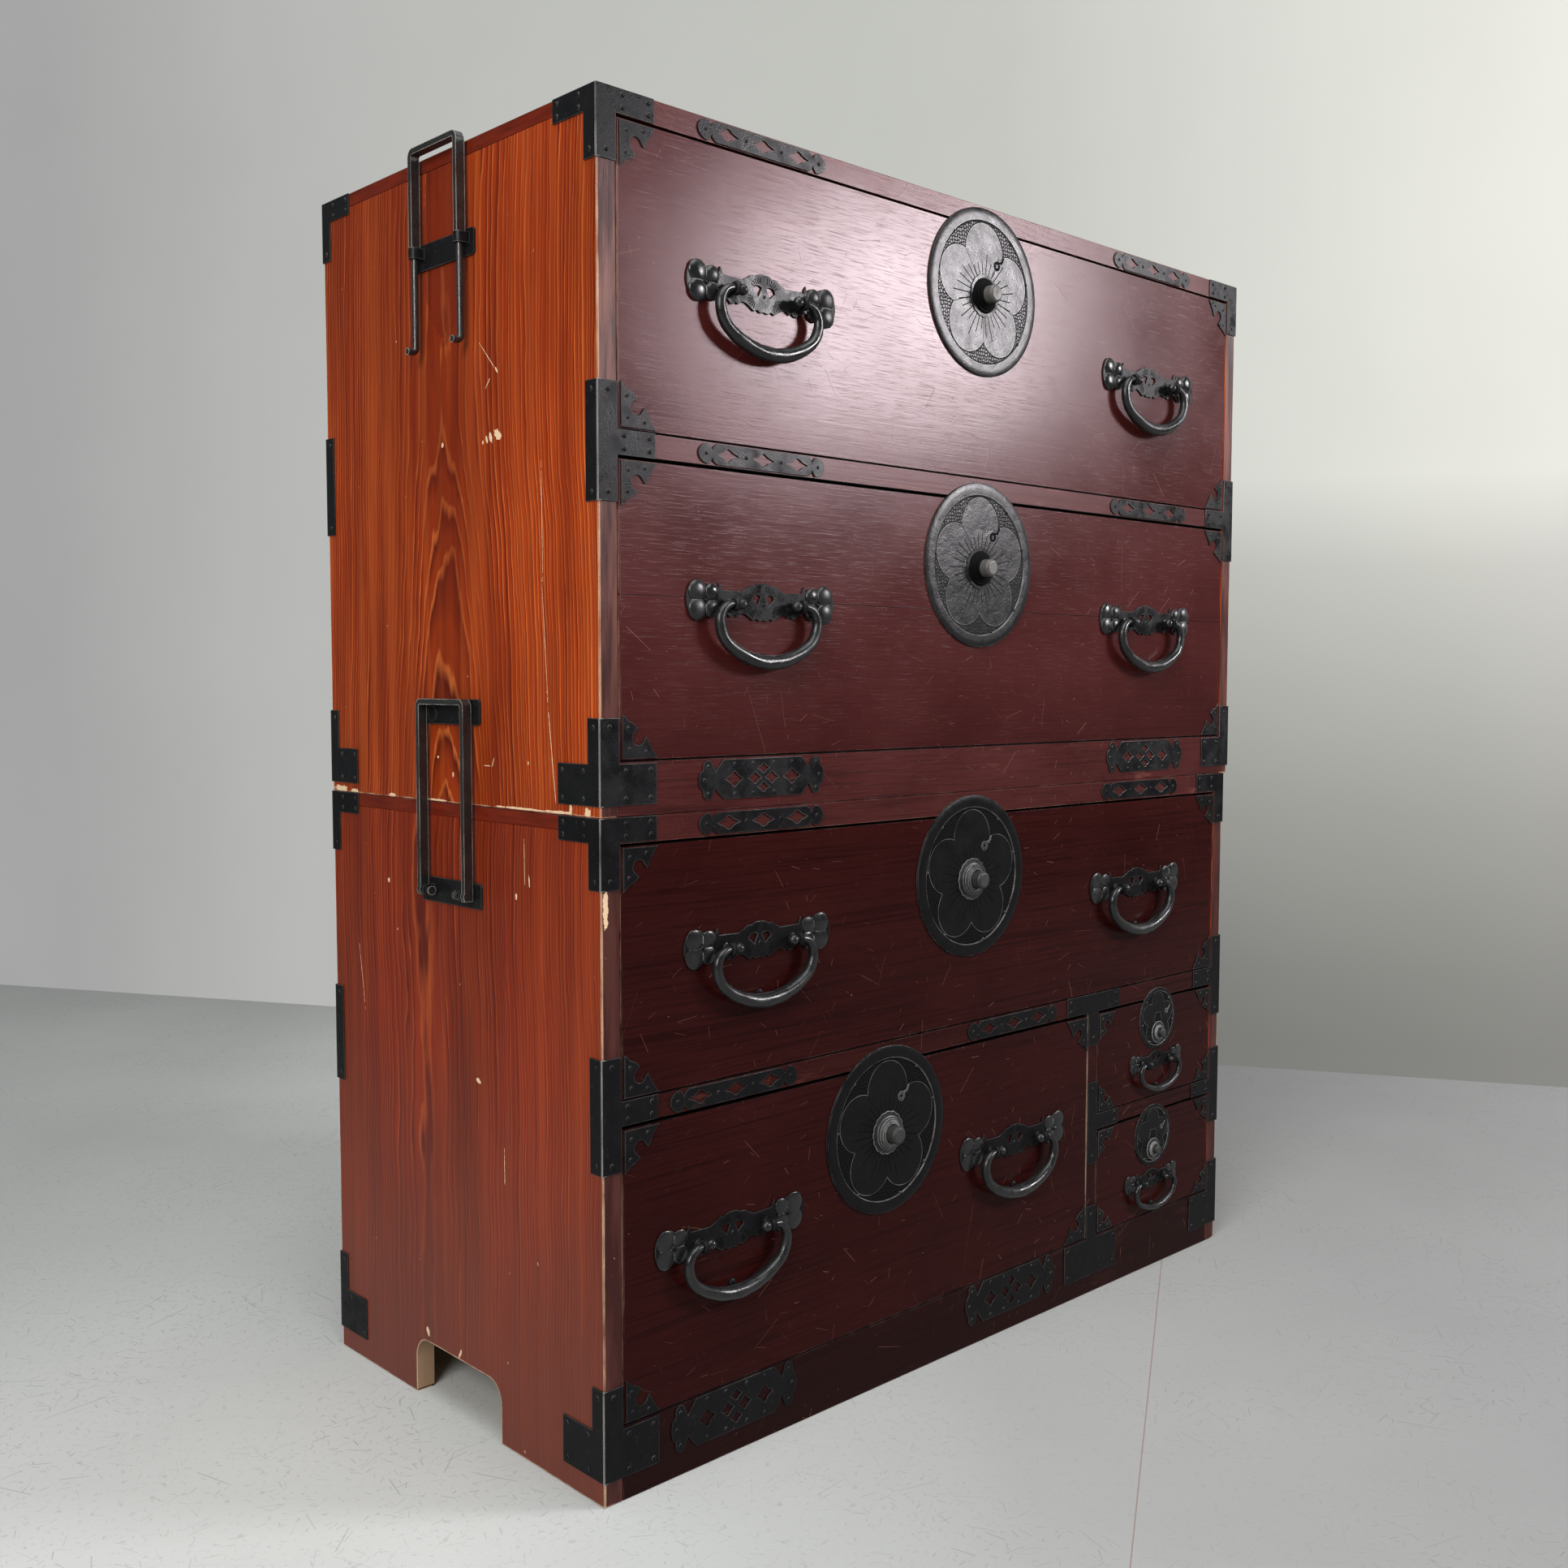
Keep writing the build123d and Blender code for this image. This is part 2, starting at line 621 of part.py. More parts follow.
def pivot_plate(out):
    """The plate on the lower case, with the two eyes that carry a joining handle."""
    face = left_x if out < 0 else lower_right_x
    upper_face = left_x if out < 0 else upper_right_x
    pieces = [handle_plate(face, pivot_z, out)]
    eye_y = handle_w / 2 - bar_w - eye_play - eye_w / 2
    for side in (-1, 1):
        centre = Vector(upper_face + out * pin_reach, handle_y + side * eye_y, pivot_z)
        pieces.append(ring_on_stem(centre, Vector(0, 1, 0), face + out * handle_plate_t, out, eye_w,
                                   pin_d))
    return pieces


def catch_plate(x, out):
    """The plate behind the crossbar of a joining handle, with two low round catches."""
    plate_z = crossbar_z - handle_plate_h / 2
    pieces = [handle_plate(x, plate_z, out)]
    height = bar_reach - fit_gap - handle_plate_t
    for side in (-1, 1):
        plane = side_plane(x + out * handle_plate_t, catch_z, out)
        stud = extrude(plane * Pos(side * catch_spread / 2, 0) * Circle(catch_r), amount=height)
        pieces.append(stud)
    return pieces


# ---------------------------------------------------------------- drawer woodwork
def front_top(drawer):
    return drawer.z1 - top_gap


def lock_pocket(drawer):
    """The recess for the lock case, open to the disc and to the top of the drawer front."""
    half_w = drawer.lock.knob_r + 2 * fit_gap + case_wall
    return block(drawer.lock_x - half_w, drawer.lock_x + half_w, 0, case_depth_in,
                 drawer.knob_z - case_below_knob, front_top(drawer))


def key_outline():
    """A key hole: a round eye with a slot that leans to the right."""
    slot = Rot(0, 0, key_slot_angle) * Pos(key_slot_length / 2, 0)
    slot = slot * Rectangle(key_slot_length, key_slot)
    return Circle(key_r) + slot


def key_point(drawer):
    return drawer.lock_x + drawer.lock.key_x, drawer.disc_z + drawer.lock.key_z


def drawer_front(drawer):
    panel = board(drawer.x0 + side_gap, drawer.x1 - side_gap, 0, front_t,
                  drawer.z0 + slide_gap, front_top(drawer))
    key_x, key_z = key_point(drawer)
    return panel - lock_pocket(drawer) - along_y(key_r, key_x, key_z, 0, key_depth)


def drawer_tray(drawer):
    """Sides, back and bottom of a drawer, behind its front."""
    x0, x1 = drawer.x0 + side_gap, drawer.x1 - side_gap
    z0, z1 = drawer.z0 + slide_gap, front_top(drawer) - tray_drop
    back0 = tray_end - tray_t
    return [
        block(x0, x0 + tray_t, front_t, tray_end, z0, z1),
        block(x1 - tray_t, x1, front_t, tray_end, z0, z1),
        block(x0 + tray_t, x1 - tray_t, back0, tray_end, z0, z1),
        block(x0 + tray_t, x1 - tray_t, front_t, back0, z0, z0 + tray_floor_t),
    ]


# ---------------------------------------------------------------- drawer locks
def lock_disc(drawer):
    """The round face plate, with its raised rim, washer and collar, pierced for knob and key."""
    lock = drawer.lock
    disc = on_front(Circle(lock.disc_r), drawer.lock_x, drawer.disc_z, lock.disc_t)
    recess = Circle(lock.disc_r - lock.rim_w)
    ground = lock.disc_t * ground_share
    disc -= on_front(recess, drawer.lock_x, drawer.disc_z, lock.disc_t, ground)
    disc += on_front(Circle(lock.washer_r), drawer.lock_x, drawer.knob_z, lock.washer_t, ground)
    disc += on_front(Circle(lock.collar_r), drawer.lock_x, drawer.knob_z,
                     lock.washer_t + lock.collar_t, ground)
    key_x, key_z = key_point(drawer)
    disc -= on_front(key_outline(), key_x, key_z, lock.disc_t)
    bore = on_front(Circle(lock.knob_r + fit_gap), drawer.lock_x, drawer.knob_z,
                    lock.washer_t + lock.collar_t + lock.disc_t)
    return disc - bore


def lock_case(drawer):
    """A folded channel behind the disc, which guides the knob's tail and the bolt."""
    lock = drawer.lock
    inner = lock.knob_r + 2 * fit_gap
    z0, z1 = drawer.knob_z - case_below_knob, front_top(drawer) - bolt_rest
    outer = block(drawer.lock_x - inner - case_wall, drawer.lock_x + inner + case_wall,
                  0, case_depth_in, z0, z1)
    return outer - block(drawer.lock_x - inner, drawer.lock_x + inner,
                         0, case_depth_in - case_wall, z0 + case_wall, z1)


def ramp_cutter(drawer, above, gap):
    """Everything above, or below, the slope that the knob's tail and the bolt share."""
    lock = drawer.lock
    size = 4 * (lock.knob_reach + case_depth_in)
    start = ramp_share * lock.knob_r + gap
    slope = Plane(origin=(drawer.lock_x, front_y, drawer.knob_z + start), x_dir=(1, 0, 0),
                  z_dir=(0, 1, 1))
    shift = size / 2 if above else -size / 2
    return slope * Pos(0, 0, shift) * Box(size, size, size)


def lock_knob(drawer):
    """The push knob. Its tail is cut to a ramp, which lifts the bolt as it goes in."""
    lock = drawer.lock
    bar = along_y(lock.knob_r, drawer.lock_x, drawer.knob_z, -lock.knob_reach, lock.tail)
    bar = fillet(bar.edges().group_by(Axis.Y)[0], lock.knob_r * knob_round)
    return bar - ramp_cutter(drawer, above=True, gap=0.0)


def lock_bolt(drawer):
    lock = drawer.lock
    bolt = block(drawer.lock_x - lock.bolt_w / 2, drawer.lock_x + lock.bolt_w / 2, bolt_depth,
                 bolt_depth + bolt_t, drawer.knob_z - case_below_knob, front_top(drawer) - bolt_rest)
    return bolt - ramp_cutter(drawer, above=False, gap=2 * fit_gap)


# ---------------------------------------------------------------- drawer pulls
def pull_outline(pull):
    """A pull's plate: a band with a round lobe at each end and a pierced fan in the middle."""
    end_x = pull.plate_w / 2 - pull.end_r
    outline = Rectangle(2 * end_x, pull.band_h) + Ellipse(pull.fan_w / 2, pull.fan_h / 2)
    for side in (-1, 1):
        outline += Pos(side * end_x, 0) * Circle(pull.end_r)
        for up in (-1, 1):
            outline += Pos(side * pull.lobe_x, up * pull.lobe_z) * Circle(pull.lobe_r)
        outline -= Pos(side * pull.hole_x, 0) * lozenge(pull.hole_w, pull.hole_h)
    return outline


def pull_post(pull, x, z):
    """An eye on a stem, which carries one end of a bail."""
    bore_r = pull.neck_r + fit_gap
    centre = Plane(origin=(x, front_y - pull.pivot_reach, z), z_dir=(1, 0, 0))
    eye = centre * Cylinder(bore_r + post_wall, post_w)
    eye += on_front(Circle(post_stem_r), x, z, pull.pivot_reach - bore_r - pull_plate_t / 2,
                    pull_plate_t)
    return eye - centre * Cylinder(bore_r, post_w)


def pull_irons(drawer):
    """Plates, posts and the strikers that the bails hang against."""
    pull = drawer.pull
    bail_z = drawer.plate_z - pull.pivot_drop
    pieces = []
    for x in drawer.pull_xs.values():
        pieces.append(on_front(pull_outline(pull), x, drawer.plate_z, pull_plate_t))
        for side in (-1, 1):
            pieces.append(pull_post(pull, x + side * pull.post_x, bail_z))
        head = pull.pivot_reach - pull.bar_r - fit_gap
        pieces.append(on_front(Circle(striker_r), x, bail_z - pull.bail_drop, head))
    return pieces


def bail(drawer, x):
    """A drop handle: a bar that swells towards its lowest point, on two turned-in ends."""
    pull = drawer.pull
    z = drawer.plate_z - pull.pivot_drop
    half_w = pull.bail_w / 2
    turn_x = half_w - pull.bend_r
    tip_x = pull.post_x - post_w / 2 - fit_gap - pull.tip_r
    plane = Plane(origin=(x, front_y - pull.pivot_reach, z), x_dir=(1, 0, 0), z_dir=(0, -1, 0))
    neck = Line((-tip_x, 0), (-turn_x, 0))
    bend = CenterArc((-turn_x, -pull.bend_r), pull.bend_r, 90, 90)
    height = pull.bail_drop - pull.bend_r
    spread = half_w - pull.corner_r
    bow_r = (spread**2 + height**2 - pull.corner_r**2) / (2 * (height - pull.corner_r))
    turn = degrees(atan2(bow_r - height, spread))
    corner = CenterArc((-spread, -pull.bend_r), pull.corner_r, 180, turn)
    bow = CenterArc((0, bow_r - pull.bail_drop), bow_r, 180 + turn, 90 - turn)
    path = plane * Wire([neck.edge(), bend.edge(), corner.edge(), bow.edge()])
    taper_start = neck.length / path.length
    sections = []
    for step in range(bail_sections):
        at = step / (bail_sections - 1)
        swell = max(0.0, (at - taper_start) / (1 - taper_start)) ** bail_swell
        sections.append(path.location_at(at) * Circle(pull.neck_r + swell * (pull.bar_r - pull.neck_r)))
    half = sweep(sections, path=path, multisection=True)
    tip = plane * Pos(-tip_x, 0, 0) * Sphere(pull.tip_r)
    half = half + tip
    return half + mirror(half, Plane.YZ.offset(x))


# ---------------------------------------------------------------- corner plates on the drawers
def corner_outline(width):
    """A three-cornered plate with a round bite out of its long edge."""
    tip = width * corner_tip_share
    outline = Polygon((0, 0), (width, 0), (width - tip / 2, -tip), (tip, tip / 2 - width),
                      (0, -width), align=None)
    bite = width * corner_bite_share
    return outline - Pos(bite, -bite) * Circle(width * corner_bite_r_share)


def corner_plates(drawer):
    x0, x1 = drawer.x0 + side_gap + corner_inset, drawer.x1 - side_gap - corner_inset
    z0, z1 = drawer.z0 + slide_gap + corner_inset, front_top(drawer) - corner_inset
    outline = corner_outline(drawer.corner_w)
    plates = []
    for x, mirror_x in ((x0, False), (x1, True)):
        for z, mirror_z in ((z1, False), (z0, True)):
            sketch = mirror(outline, Plane.YZ) if mirror_x else outline
            sketch = mirror(sketch, Plane.XZ) if mirror_z else sketch
            plates.append(extrude(front_plane(x, z) * sketch, amount=plate_t, dir=(0, -1, 0)))
    return plates


# ---------------------------------------------------------------- the whole chest
def chest():
    """Every node of the chest: its name, and its solid or list of solids."""
    nodes = lower_case() | upper_case()
    nodes["lower_iron_fittings"] = lower_straps() + lower_openwork()
    nodes["upper_iron_fittings"] = upper_straps() + upper_openwork()
    nodes["lower_handle_plates"] = pivot_plate(-1) + pivot_plate(1)
    nodes["upper_handle_plates"] = []
    for name, x, out in (("left", left_x, -1), ("right", upper_right_x, 1)):
        nodes[name + "_pole_handle"] = pole_handle(x, out)
        nodes[name + "_joining_handle"] = joining_handle(out)
        nodes["upper_handle_plates"] += pole_plate(x, out) + catch_plate(x, out)
    for drawer in drawers:
        nodes[drawer.name + "_front"] = drawer_front(drawer)
        nodes[drawer.name + "_tray"] = drawer_tray(drawer)
        nodes[drawer.name + "_irons"] = ([lock_disc(drawer), lock_case(drawer)] + pull_irons(drawer)
                                         + corner_plates(drawer))
        nodes[drawer.name + "_knob"] = lock_knob(drawer)
        nodes[drawer.name + "_bolt"] = lock_bolt(drawer)
        for side, x in drawer.pull_xs.items():
            nodes[drawer.name + "_" + side + "bail"] = bail(drawer, x)
    return nodes


os.makedirs("parts", exist_ok=True)
for node, shape in chest().items():
    solids = shape if isinstance(shape, list) else [shape]
    whole = solids[0] if len(solids) == 1 else Compound(children=solids)
    whole.label = node
    export_step(whole, "parts/" + node + ".step")
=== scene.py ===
import json
from collections import namedtuple
from math import atan2, cos, hypot, pi, radians, sin

import bmesh
import bpy
from mathutils import Matrix, Vector, noise

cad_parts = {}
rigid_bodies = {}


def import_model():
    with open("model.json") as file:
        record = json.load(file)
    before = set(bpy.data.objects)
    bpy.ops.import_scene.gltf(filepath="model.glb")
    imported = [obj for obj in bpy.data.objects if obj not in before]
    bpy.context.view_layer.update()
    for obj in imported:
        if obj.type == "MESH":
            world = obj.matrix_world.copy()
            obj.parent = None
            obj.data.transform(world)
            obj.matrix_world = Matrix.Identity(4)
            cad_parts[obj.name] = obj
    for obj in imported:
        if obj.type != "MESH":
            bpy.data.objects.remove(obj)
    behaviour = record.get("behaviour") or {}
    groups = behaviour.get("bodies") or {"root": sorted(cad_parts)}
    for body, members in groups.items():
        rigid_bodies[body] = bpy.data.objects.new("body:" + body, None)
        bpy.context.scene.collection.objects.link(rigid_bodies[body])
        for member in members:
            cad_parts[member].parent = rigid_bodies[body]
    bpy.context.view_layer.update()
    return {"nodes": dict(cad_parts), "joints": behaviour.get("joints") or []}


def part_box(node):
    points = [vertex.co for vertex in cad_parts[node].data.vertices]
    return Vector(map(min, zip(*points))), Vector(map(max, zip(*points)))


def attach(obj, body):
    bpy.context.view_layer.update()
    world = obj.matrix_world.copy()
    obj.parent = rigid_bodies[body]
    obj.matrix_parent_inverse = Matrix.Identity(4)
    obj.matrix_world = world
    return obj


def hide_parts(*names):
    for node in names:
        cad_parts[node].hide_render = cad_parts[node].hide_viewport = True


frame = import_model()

# ---------------------------------------------------------------- side boards
# Wide flat-sawn softwood boards under thin orange-brown lacquer, which has sunk between the hard
# pale lines of the year rings. The front edges are lacquered dark like the rails, and the corner
# between the two is rubbed through to bare wood.
mm = 0.001
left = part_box("lower_left_side")[0][0]
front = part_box("lower_left_side")[0][1]
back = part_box("lower_left_side")[1][1]


class Shade:
    """A number, point or colour that varies over a surface. A mask is 1 where it holds and 0
    elsewhere, so that * means "and" and | means "or"."""

    def __init__(self, finish, socket):
        self.finish, self.socket = finish, socket

    def __add__(self, other):
        return self.finish.math("ADD", self, other)

    def __sub__(self, other):
        return self.finish.math("SUBTRACT", self, other)

    def __rsub__(self, other):
        return self.finish.math("SUBTRACT", other, self)

    def __mul__(self, other):
        return self.finish.math("MULTIPLY", self, other)

    def __truediv__(self, other):
        return self.finish.math("DIVIDE", self, other)

    def __lt__(self, other):
        return self.finish.math("LESS_THAN", self, other)

    def __gt__(self, other):
        return self.finish.math("GREATER_THAN", self, other)

    def __or__(self, other):
        return self.finish.math("MAXIMUM", self, other)

    def __abs__(self):
        return self.finish.math("ABSOLUTE", self)

    __radd__ = __add__
    __rmul__ = __mul__


class Finish:
    """A surface finish, built up from shader nodes."""

    def __init__(self, name):
        self.material = bpy.data.materials.new(name)
        self.material.use_nodes = True
        self.tree = self.material.node_tree
        self.shader = self.tree.nodes["Principled BSDF"]

    def set(self, socket, value):
        if isinstance(value, Shade):
            self.tree.links.new(value.socket, socket)
        elif socket.type == "RGBA" and len(value) == 3:
            socket.default_value = (*value, 1.0)
        else:
            socket.default_value = value

    def surface(self, **values):
        for name, value in values.items():
            self.set(self.shader.inputs[name.replace("_", " ")], value)

    def node(self, kind, outputs, settings=(), **values):
        """A shader node with named inputs. Gives one output, or each of a tuple of them."""
        node = self.tree.nodes.new("ShaderNode" + kind)
        for name, value in dict(settings).items():
            setattr(node, name, value)
        for name, value in values.items():
            self.set(node.inputs[name.replace("_", " ")], value)
        if isinstance(outputs, tuple):
            return [Shade(self, node.outputs[name]) for name in outputs]
        return Shade(self, node.outputs[outputs])

    def worked_out(self, kind, *values, **settings):
        """All the outputs of a shader node whose inputs are given in order."""
        node = self.tree.nodes.new("ShaderNode" + kind)
        for name, value in settings.items():
            setattr(node, name, value)
        for socket, value in zip(node.inputs, values):
            if value is not None:
                self.set(socket, value)
        return [Shade(self, output) for output in node.outputs]

    def math(self, operation, *values):
        return self.worked_out("Math", *values, operation=operation)[0]

    def axes(self, vector):
        return self.worked_out("SeparateXYZ", vector)

    def point(self, x, y, z):
        return self.worked_out("CombineXYZ", x, y, z)[0]

    def place(self):
        """The point on the chest, in metres."""
        return self.axes(self.node("TexCoord", "Object"))

    def facing(self, which="Normal"):
        """The direction that the surface faces."""
        return self.axes(self.node("NewGeometry", which))

    def clouds(self, spot, detail, rough=0.5):
        return self.node("TexNoise", "Fac", Vector=spot, Scale=1.0, Detail=detail, Roughness=rough)

    def stretched(self, size_x, size_y, size_z, detail=3.0, rough=0.55):
        """Cloudy noise whose blobs have the given sizes in metres."""
        x, y, z = self.place()
        return self.clouds(self.point(x / size_x, y / size_y, z / size_z), detail, rough)

    def blobs(self, size, detail=3.0, rough=0.55):
        """The same, as wide as they are high."""
        return self.stretched(size, size, size, detail, rough)

    def ramp(self, factor, stops):
        node = self.tree.nodes.new("ShaderNodeValToRGB")
        elements = node.color_ramp.elements
        while len(elements) < len(stops):
            elements.new(0.5)
        for element, (position, value) in zip(elements, stops):
            element.position = position
            element.color = (*value, 1.0) if isinstance(value, tuple) else (*[value] * 3, 1.0)
        self.set(node.inputs[0], factor)
        return Shade(self, node.outputs[0])

    def rise(self, factor, low, high, top=1.0):
        """0 up to low, and top from high on."""
        return self.ramp(factor, [(low, 0.0), (high, top)])

    def mix(self, factor, a, b):
        left_out = [None] * 5
        return self.worked_out("Mix", factor, *left_out, a, b, data_type="RGBA")[2]

    def tint(self, colour, factor, depth):
        """The colour, darkened or lightened by a factor that is 0.5 on average."""
        value = factor * (2 * depth) + (1.0 - depth)
        return self.node("HueSaturation", "Color", Color=colour, Value=value)

    def rubbed_edges(self, radius, low, high):
        """1 on sharp edges that hands and moves have rubbed, 0 on the flats. On iron the mask
        also carries a painted highlight along the edges.
        """
        rounded = self.node("Bevel", "Normal", {"samples": 6}, Radius=radius)
        flat = self.node("NewGeometry", "Normal")
        bend = 1.0 - self.worked_out("VectorMath", rounded, flat, operation="DOT_PRODUCT")[1]
        patchy = self.ramp(self.stretched(0.02, 0.02, 0.05, 4.0), [(0.40, 0.15), (0.62, 0.75)])
        return self.rise(bend * patchy, low, high)

    def scratches(self, across, up, spacing, length, width, seed):
        """Short straight scratches, one to a patch, each at its own angle and of its own length."""
        spot = self.point(across / spacing + seed, up / spacing + seed, 0.0)
        middle, chance = self.node("TexVoronoi", ("Position", "Color"),
                                   {"voronoi_dimensions": "2D"}, Vector=spot, Scale=1.0)
        offset = self.worked_out("VectorMath", spot, middle, operation="SUBTRACT")[0]
        angle, reach, strength = self.axes(chance)
        aside, along, _ = self.axes(self.node("VectorRotate", "Vector", {"rotation_type": "Z_AXIS"},
                                              Vector=offset, Angle=angle * (2 * pi)))
        thin = abs(aside) < width / spacing / 2
        short = abs(along) < reach * (length / spacing)
        return thin * short * strength

    def spot(self, across, up, centre, size, lean=0.0, ragged=0.9):
        """A single mark with a ragged edge: 1 inside. lean is its slant, in across per up."""
        rise = up - centre[1]
        run = across - (rise * lean + centre[0])
        edge = self.blobs(0.004, 3.0)
        return edge * (ragged * 2) + self.far(run / size[0], rise / size[1]) < 1 + ragged

    def far(self, across, up):
        """The distance from the point where both are 0."""
        return self.math("SQRT", across * across + up * up)

    def band(self, value, middle, half):
        """1 within a half width of the middle."""
        return self.math("COMPARE", value, middle, half)

    def any(self, *masks):
        most = masks[0]
        for mask in masks[1:]:
            most = most | mask
        return most

    def raise_by(self, height, distance, **under):
        return self.node("Bump", "Normal", Height=height, Distance=distance, Strength=1.0, **under)


edge_lacquer = (0.038, 0.0085, 0.0075)
edge_worn = (0.17, 0.060, 0.045)
bare_wood = (0.74, 0.53, 0.34)
foot_cut_wood = (0.36, 0.23, 0.14)
handle_shade_lacquer = (0.11, 0.010, 0.004)
year_ring = 3.9 * mm
half_width_inside = 0.439
stile_chip, stile_chip_size = (left + 4.5 * mm, 0.482), (2.4 * mm, 14 * mm)
handle_shade_w = 36 * mm


def side_lacquer(name, arch_foot, arch_top, arch_y, early, late, line, foot_tone, joint, chip_places,
                 handle_shade=None):
    """Year rings round a pith line that leans out of the board, which makes arches on its face.
    joint is the height of the board's top. handle_shade is the place and half height of a painted
    shade round a handle: darker lacquer where the handle shades the side."""
    finish = Finish(name)
    x, y, z = finish.place()
    drift = finish.clouds(finish.point(0, 0, z * 3.1), 2.0)
    across = y - arch_y + (drift * 0.036 - 0.018)
    lean = (finish.math("SMOOTH_MIN", z, arch_top, 0.05) - arch_foot) * 0.061
    waver = finish.stretched(0.020, 0.020, 0.10, 2.0) * 0.0050 - 0.0025
    radius = finish.far(across, lean) + waver
    bunch = finish.clouds(finish.point(radius * 70.0, 0, 0), 2.0)
    fibre = finish.stretched(0.0011, 0.0011, 0.07, 4.0, 0.7)
    cloud = finish.stretched(0.10, 0.07, 0.40, 3.0)
    ringed = finish.math("FRACT", radius / year_ring + bunch * 3.6) + (fibre * 0.24 - 0.12)
    strong = finish.ramp(finish.stretched(0.04, 0.04, 0.16, 2.0), [(0.34, 0.45), (0.56, 1.0)])
    wood = finish.ramp(ringed, [(0.0, line), (0.06, early), (0.42, early), (0.78, late),
                                (0.94, line)])
    wood = finish.mix(strong, finish.mix(0.45, early, late), wood)
    streak = finish.rise(finish.stretched(0.008, 0.008, 0.30, 3.0), 0.40, 0.62)
    wood = finish.mix(streak * 0.35, wood, late)
    glow = finish.rise(finish.stretched(0.016, 0.016, 0.55, 3.0), 0.48, 0.66, 0.55)
    wood = finish.mix(glow, wood, finish.mix(0.45, early, line))
    from_arch = finish.far((y - arch_y) / 0.10, (z - arch_top) / 0.24)
    wood = finish.mix(finish.ramp(from_arch, [(0.2, 0.75), (1.0, 0.0)]) * cloud, wood, late)
    wood = finish.tint(finish.tint(wood, cloud, 0.65), fibre, 0.35)
    # Darker towards the top, most towards the back.
    top_darkening = finish.rise(z, 0.80, 1.0, 0.34) * finish.ramp(y, [(0.0, 0.6), (0.15, 1.0)])
    wood = finish.mix(top_darkening, wood, late)
    # Darker towards the bottom of the board.
    wood = finish.mix(finish.ramp(z, [(0.0, 1.0), (0.34, 0.0)]) * 0.80, wood, foot_tone)
    # Painted shade round the handle: the lacquer there is darker.
    if handle_shade:
        *shade_centre, shade_h = handle_shade
        shade = finish.spot(y, z, shade_centre, (handle_shade_w, shade_h), 0.0, 0.25)
        wood = finish.mix(shade * 0.5, wood, handle_shade_lacquer)

    aside, ahead, _ = finish.facing()
    front_edge = ahead < -0.9
    edge_wear = (finish.rise(finish.stretched(0.010, 0.010, 0.10, 5.0), 0.42, 0.62)
                 * finish.ramp(z, [(0.45, 0.25), (0.90, 1.0)]))
    wood = finish.mix(front_edge, wood, finish.mix(edge_wear, edge_lacquer, edge_worn))
    foot_cut = (abs(aside) < 0.5) * (finish.band(y, arch_y, 0.19) * finish.band(z, 0.06, 0.058))
    wood = finish.mix(foot_cut, wood, finish.tint(foot_cut_wood, fibre, 0.3))
    chips = [finish.spot(y, z, (mark_y, mark_z), (width, height), slant)
             for mark_y, mark_z, width, height, slant in chip_places]
    chips.append(finish.spot(x, z, stile_chip, stile_chip_size) * front_edge)
    specks = finish.rise(finish.stretched(0.006, 0.006, 0.010, 3.0), 0.765, 0.785)
    outer = (abs(x) > half_width_inside) * (z < joint - 6 * mm)
    rubbed = finish.rubbed_edges(1.9 * mm, 0.012, 0.036) * outer
    wood = finish.mix(finish.any(rubbed, finish.any(*chips) * (x < 0.0), specks), wood, bare_wood)
    relief = finish.ramp(ringed, [(0.0, 1.0), (0.12, 0.0), (0.80, 0.15), (0.92, 1.0)])
    finish.surface(Base_Color=wood, Roughness=cloud * 0.20 + 0.26, Specular_IOR_Level=0.18,
                   Normal=finish.raise_by(relief + fibre, 0.06 * mm))
    return finish.material


def dress(material, *nodes):
    """Gives CAD nodes their finish."""
    for name in nodes:
        for slot in frame["nodes"][name].material_slots:
            slot.material = material


# Chips and scratches of the left side: depth and height of the middle, half sizes, and slant.
upper_chips = [(-0.0690, 0.8630, 0.0048, 0.0048, 0.4), (-0.0590, 0.8612, 0.0022, 0.0045, 0.2),
               (-0.0530, 0.8600, 0.0014, 0.0030, 0.3), (-0.0470, 0.8585, 0.0012, 0.0015, 0.0),
               (-0.0563, 0.9271, 0.00045, 0.0136, 0.96), (-0.0685, 0.9150, 0.0015, 0.0028, 0.5),
               (-0.0552, 0.9062, 0.0006, 0.0038, -0.88), (0.0165, 0.8632, 0.0014, 0.0022, 0.0),
               (-0.1313, 0.7880, 0.0003, 0.050, 0.015), (-0.1340, 0.6910, 0.0003, 0.047, 0.073),
               (-0.1425, 0.6000, 0.0004, 0.046, 0.125), (-0.0570, 0.5913, 0.0005, 0.0032, -0.4),
               (-0.0477, 0.5880, 0.0045, 0.0004, 0.0), (-0.1088, 0.5928, 0.0010, 0.0020, 0.0),
               (0.0060, 0.5784, 0.0009, 0.0022, 0.0), (0.0302, 0.5926, 0.0012, 0.0010, 0.0),
               (0.207, 0.5560, 0.012, 0.0030, 0.0), (0.182, 0.5548, 0.007, 0.0020, 0.0),
               (0.112, 0.5548, 0.006, 0.0016, 0.0), (0.040, 0.5545, 0.020, 0.0009, 0.0),
               (-0.100, 0.5546, 0.034, 0.0009, 0.0), (-0.152, 0.5550, 0.018, 0.0011, 0.0),
               (-0.1676, 0.5575, 0.0016, 0.0046, 0.0), (-0.190, 0.5565, 0.0034, 0.0040, 0.0)]
lower_chips = [(-0.1020, 0.5110, 0.0003, 0.019, 0.02), (-0.1087, 0.4953, 0.0007, 0.0050, 0.06),
               (-0.0895, 0.4805, 0.0014, 0.0025, 0.0), (0.1195, 0.4752, 0.0016, 0.0019, 0.0),
               (0.1729, 0.3810, 0.0003, 0.030, 0.16), (-0.029, 0.3136, 0.0030, 0.0022, 0.8),
               (-0.068, 0.245, 0.0004, 0.016, 0.0), (0.0610, 0.0640, 0.0022, 0.0042, 0.3),
               (0.0060, 0.0600, 0.0016, 0.0046, -0.5)]
arch_line = (front + back) / 2 + 7 * mm
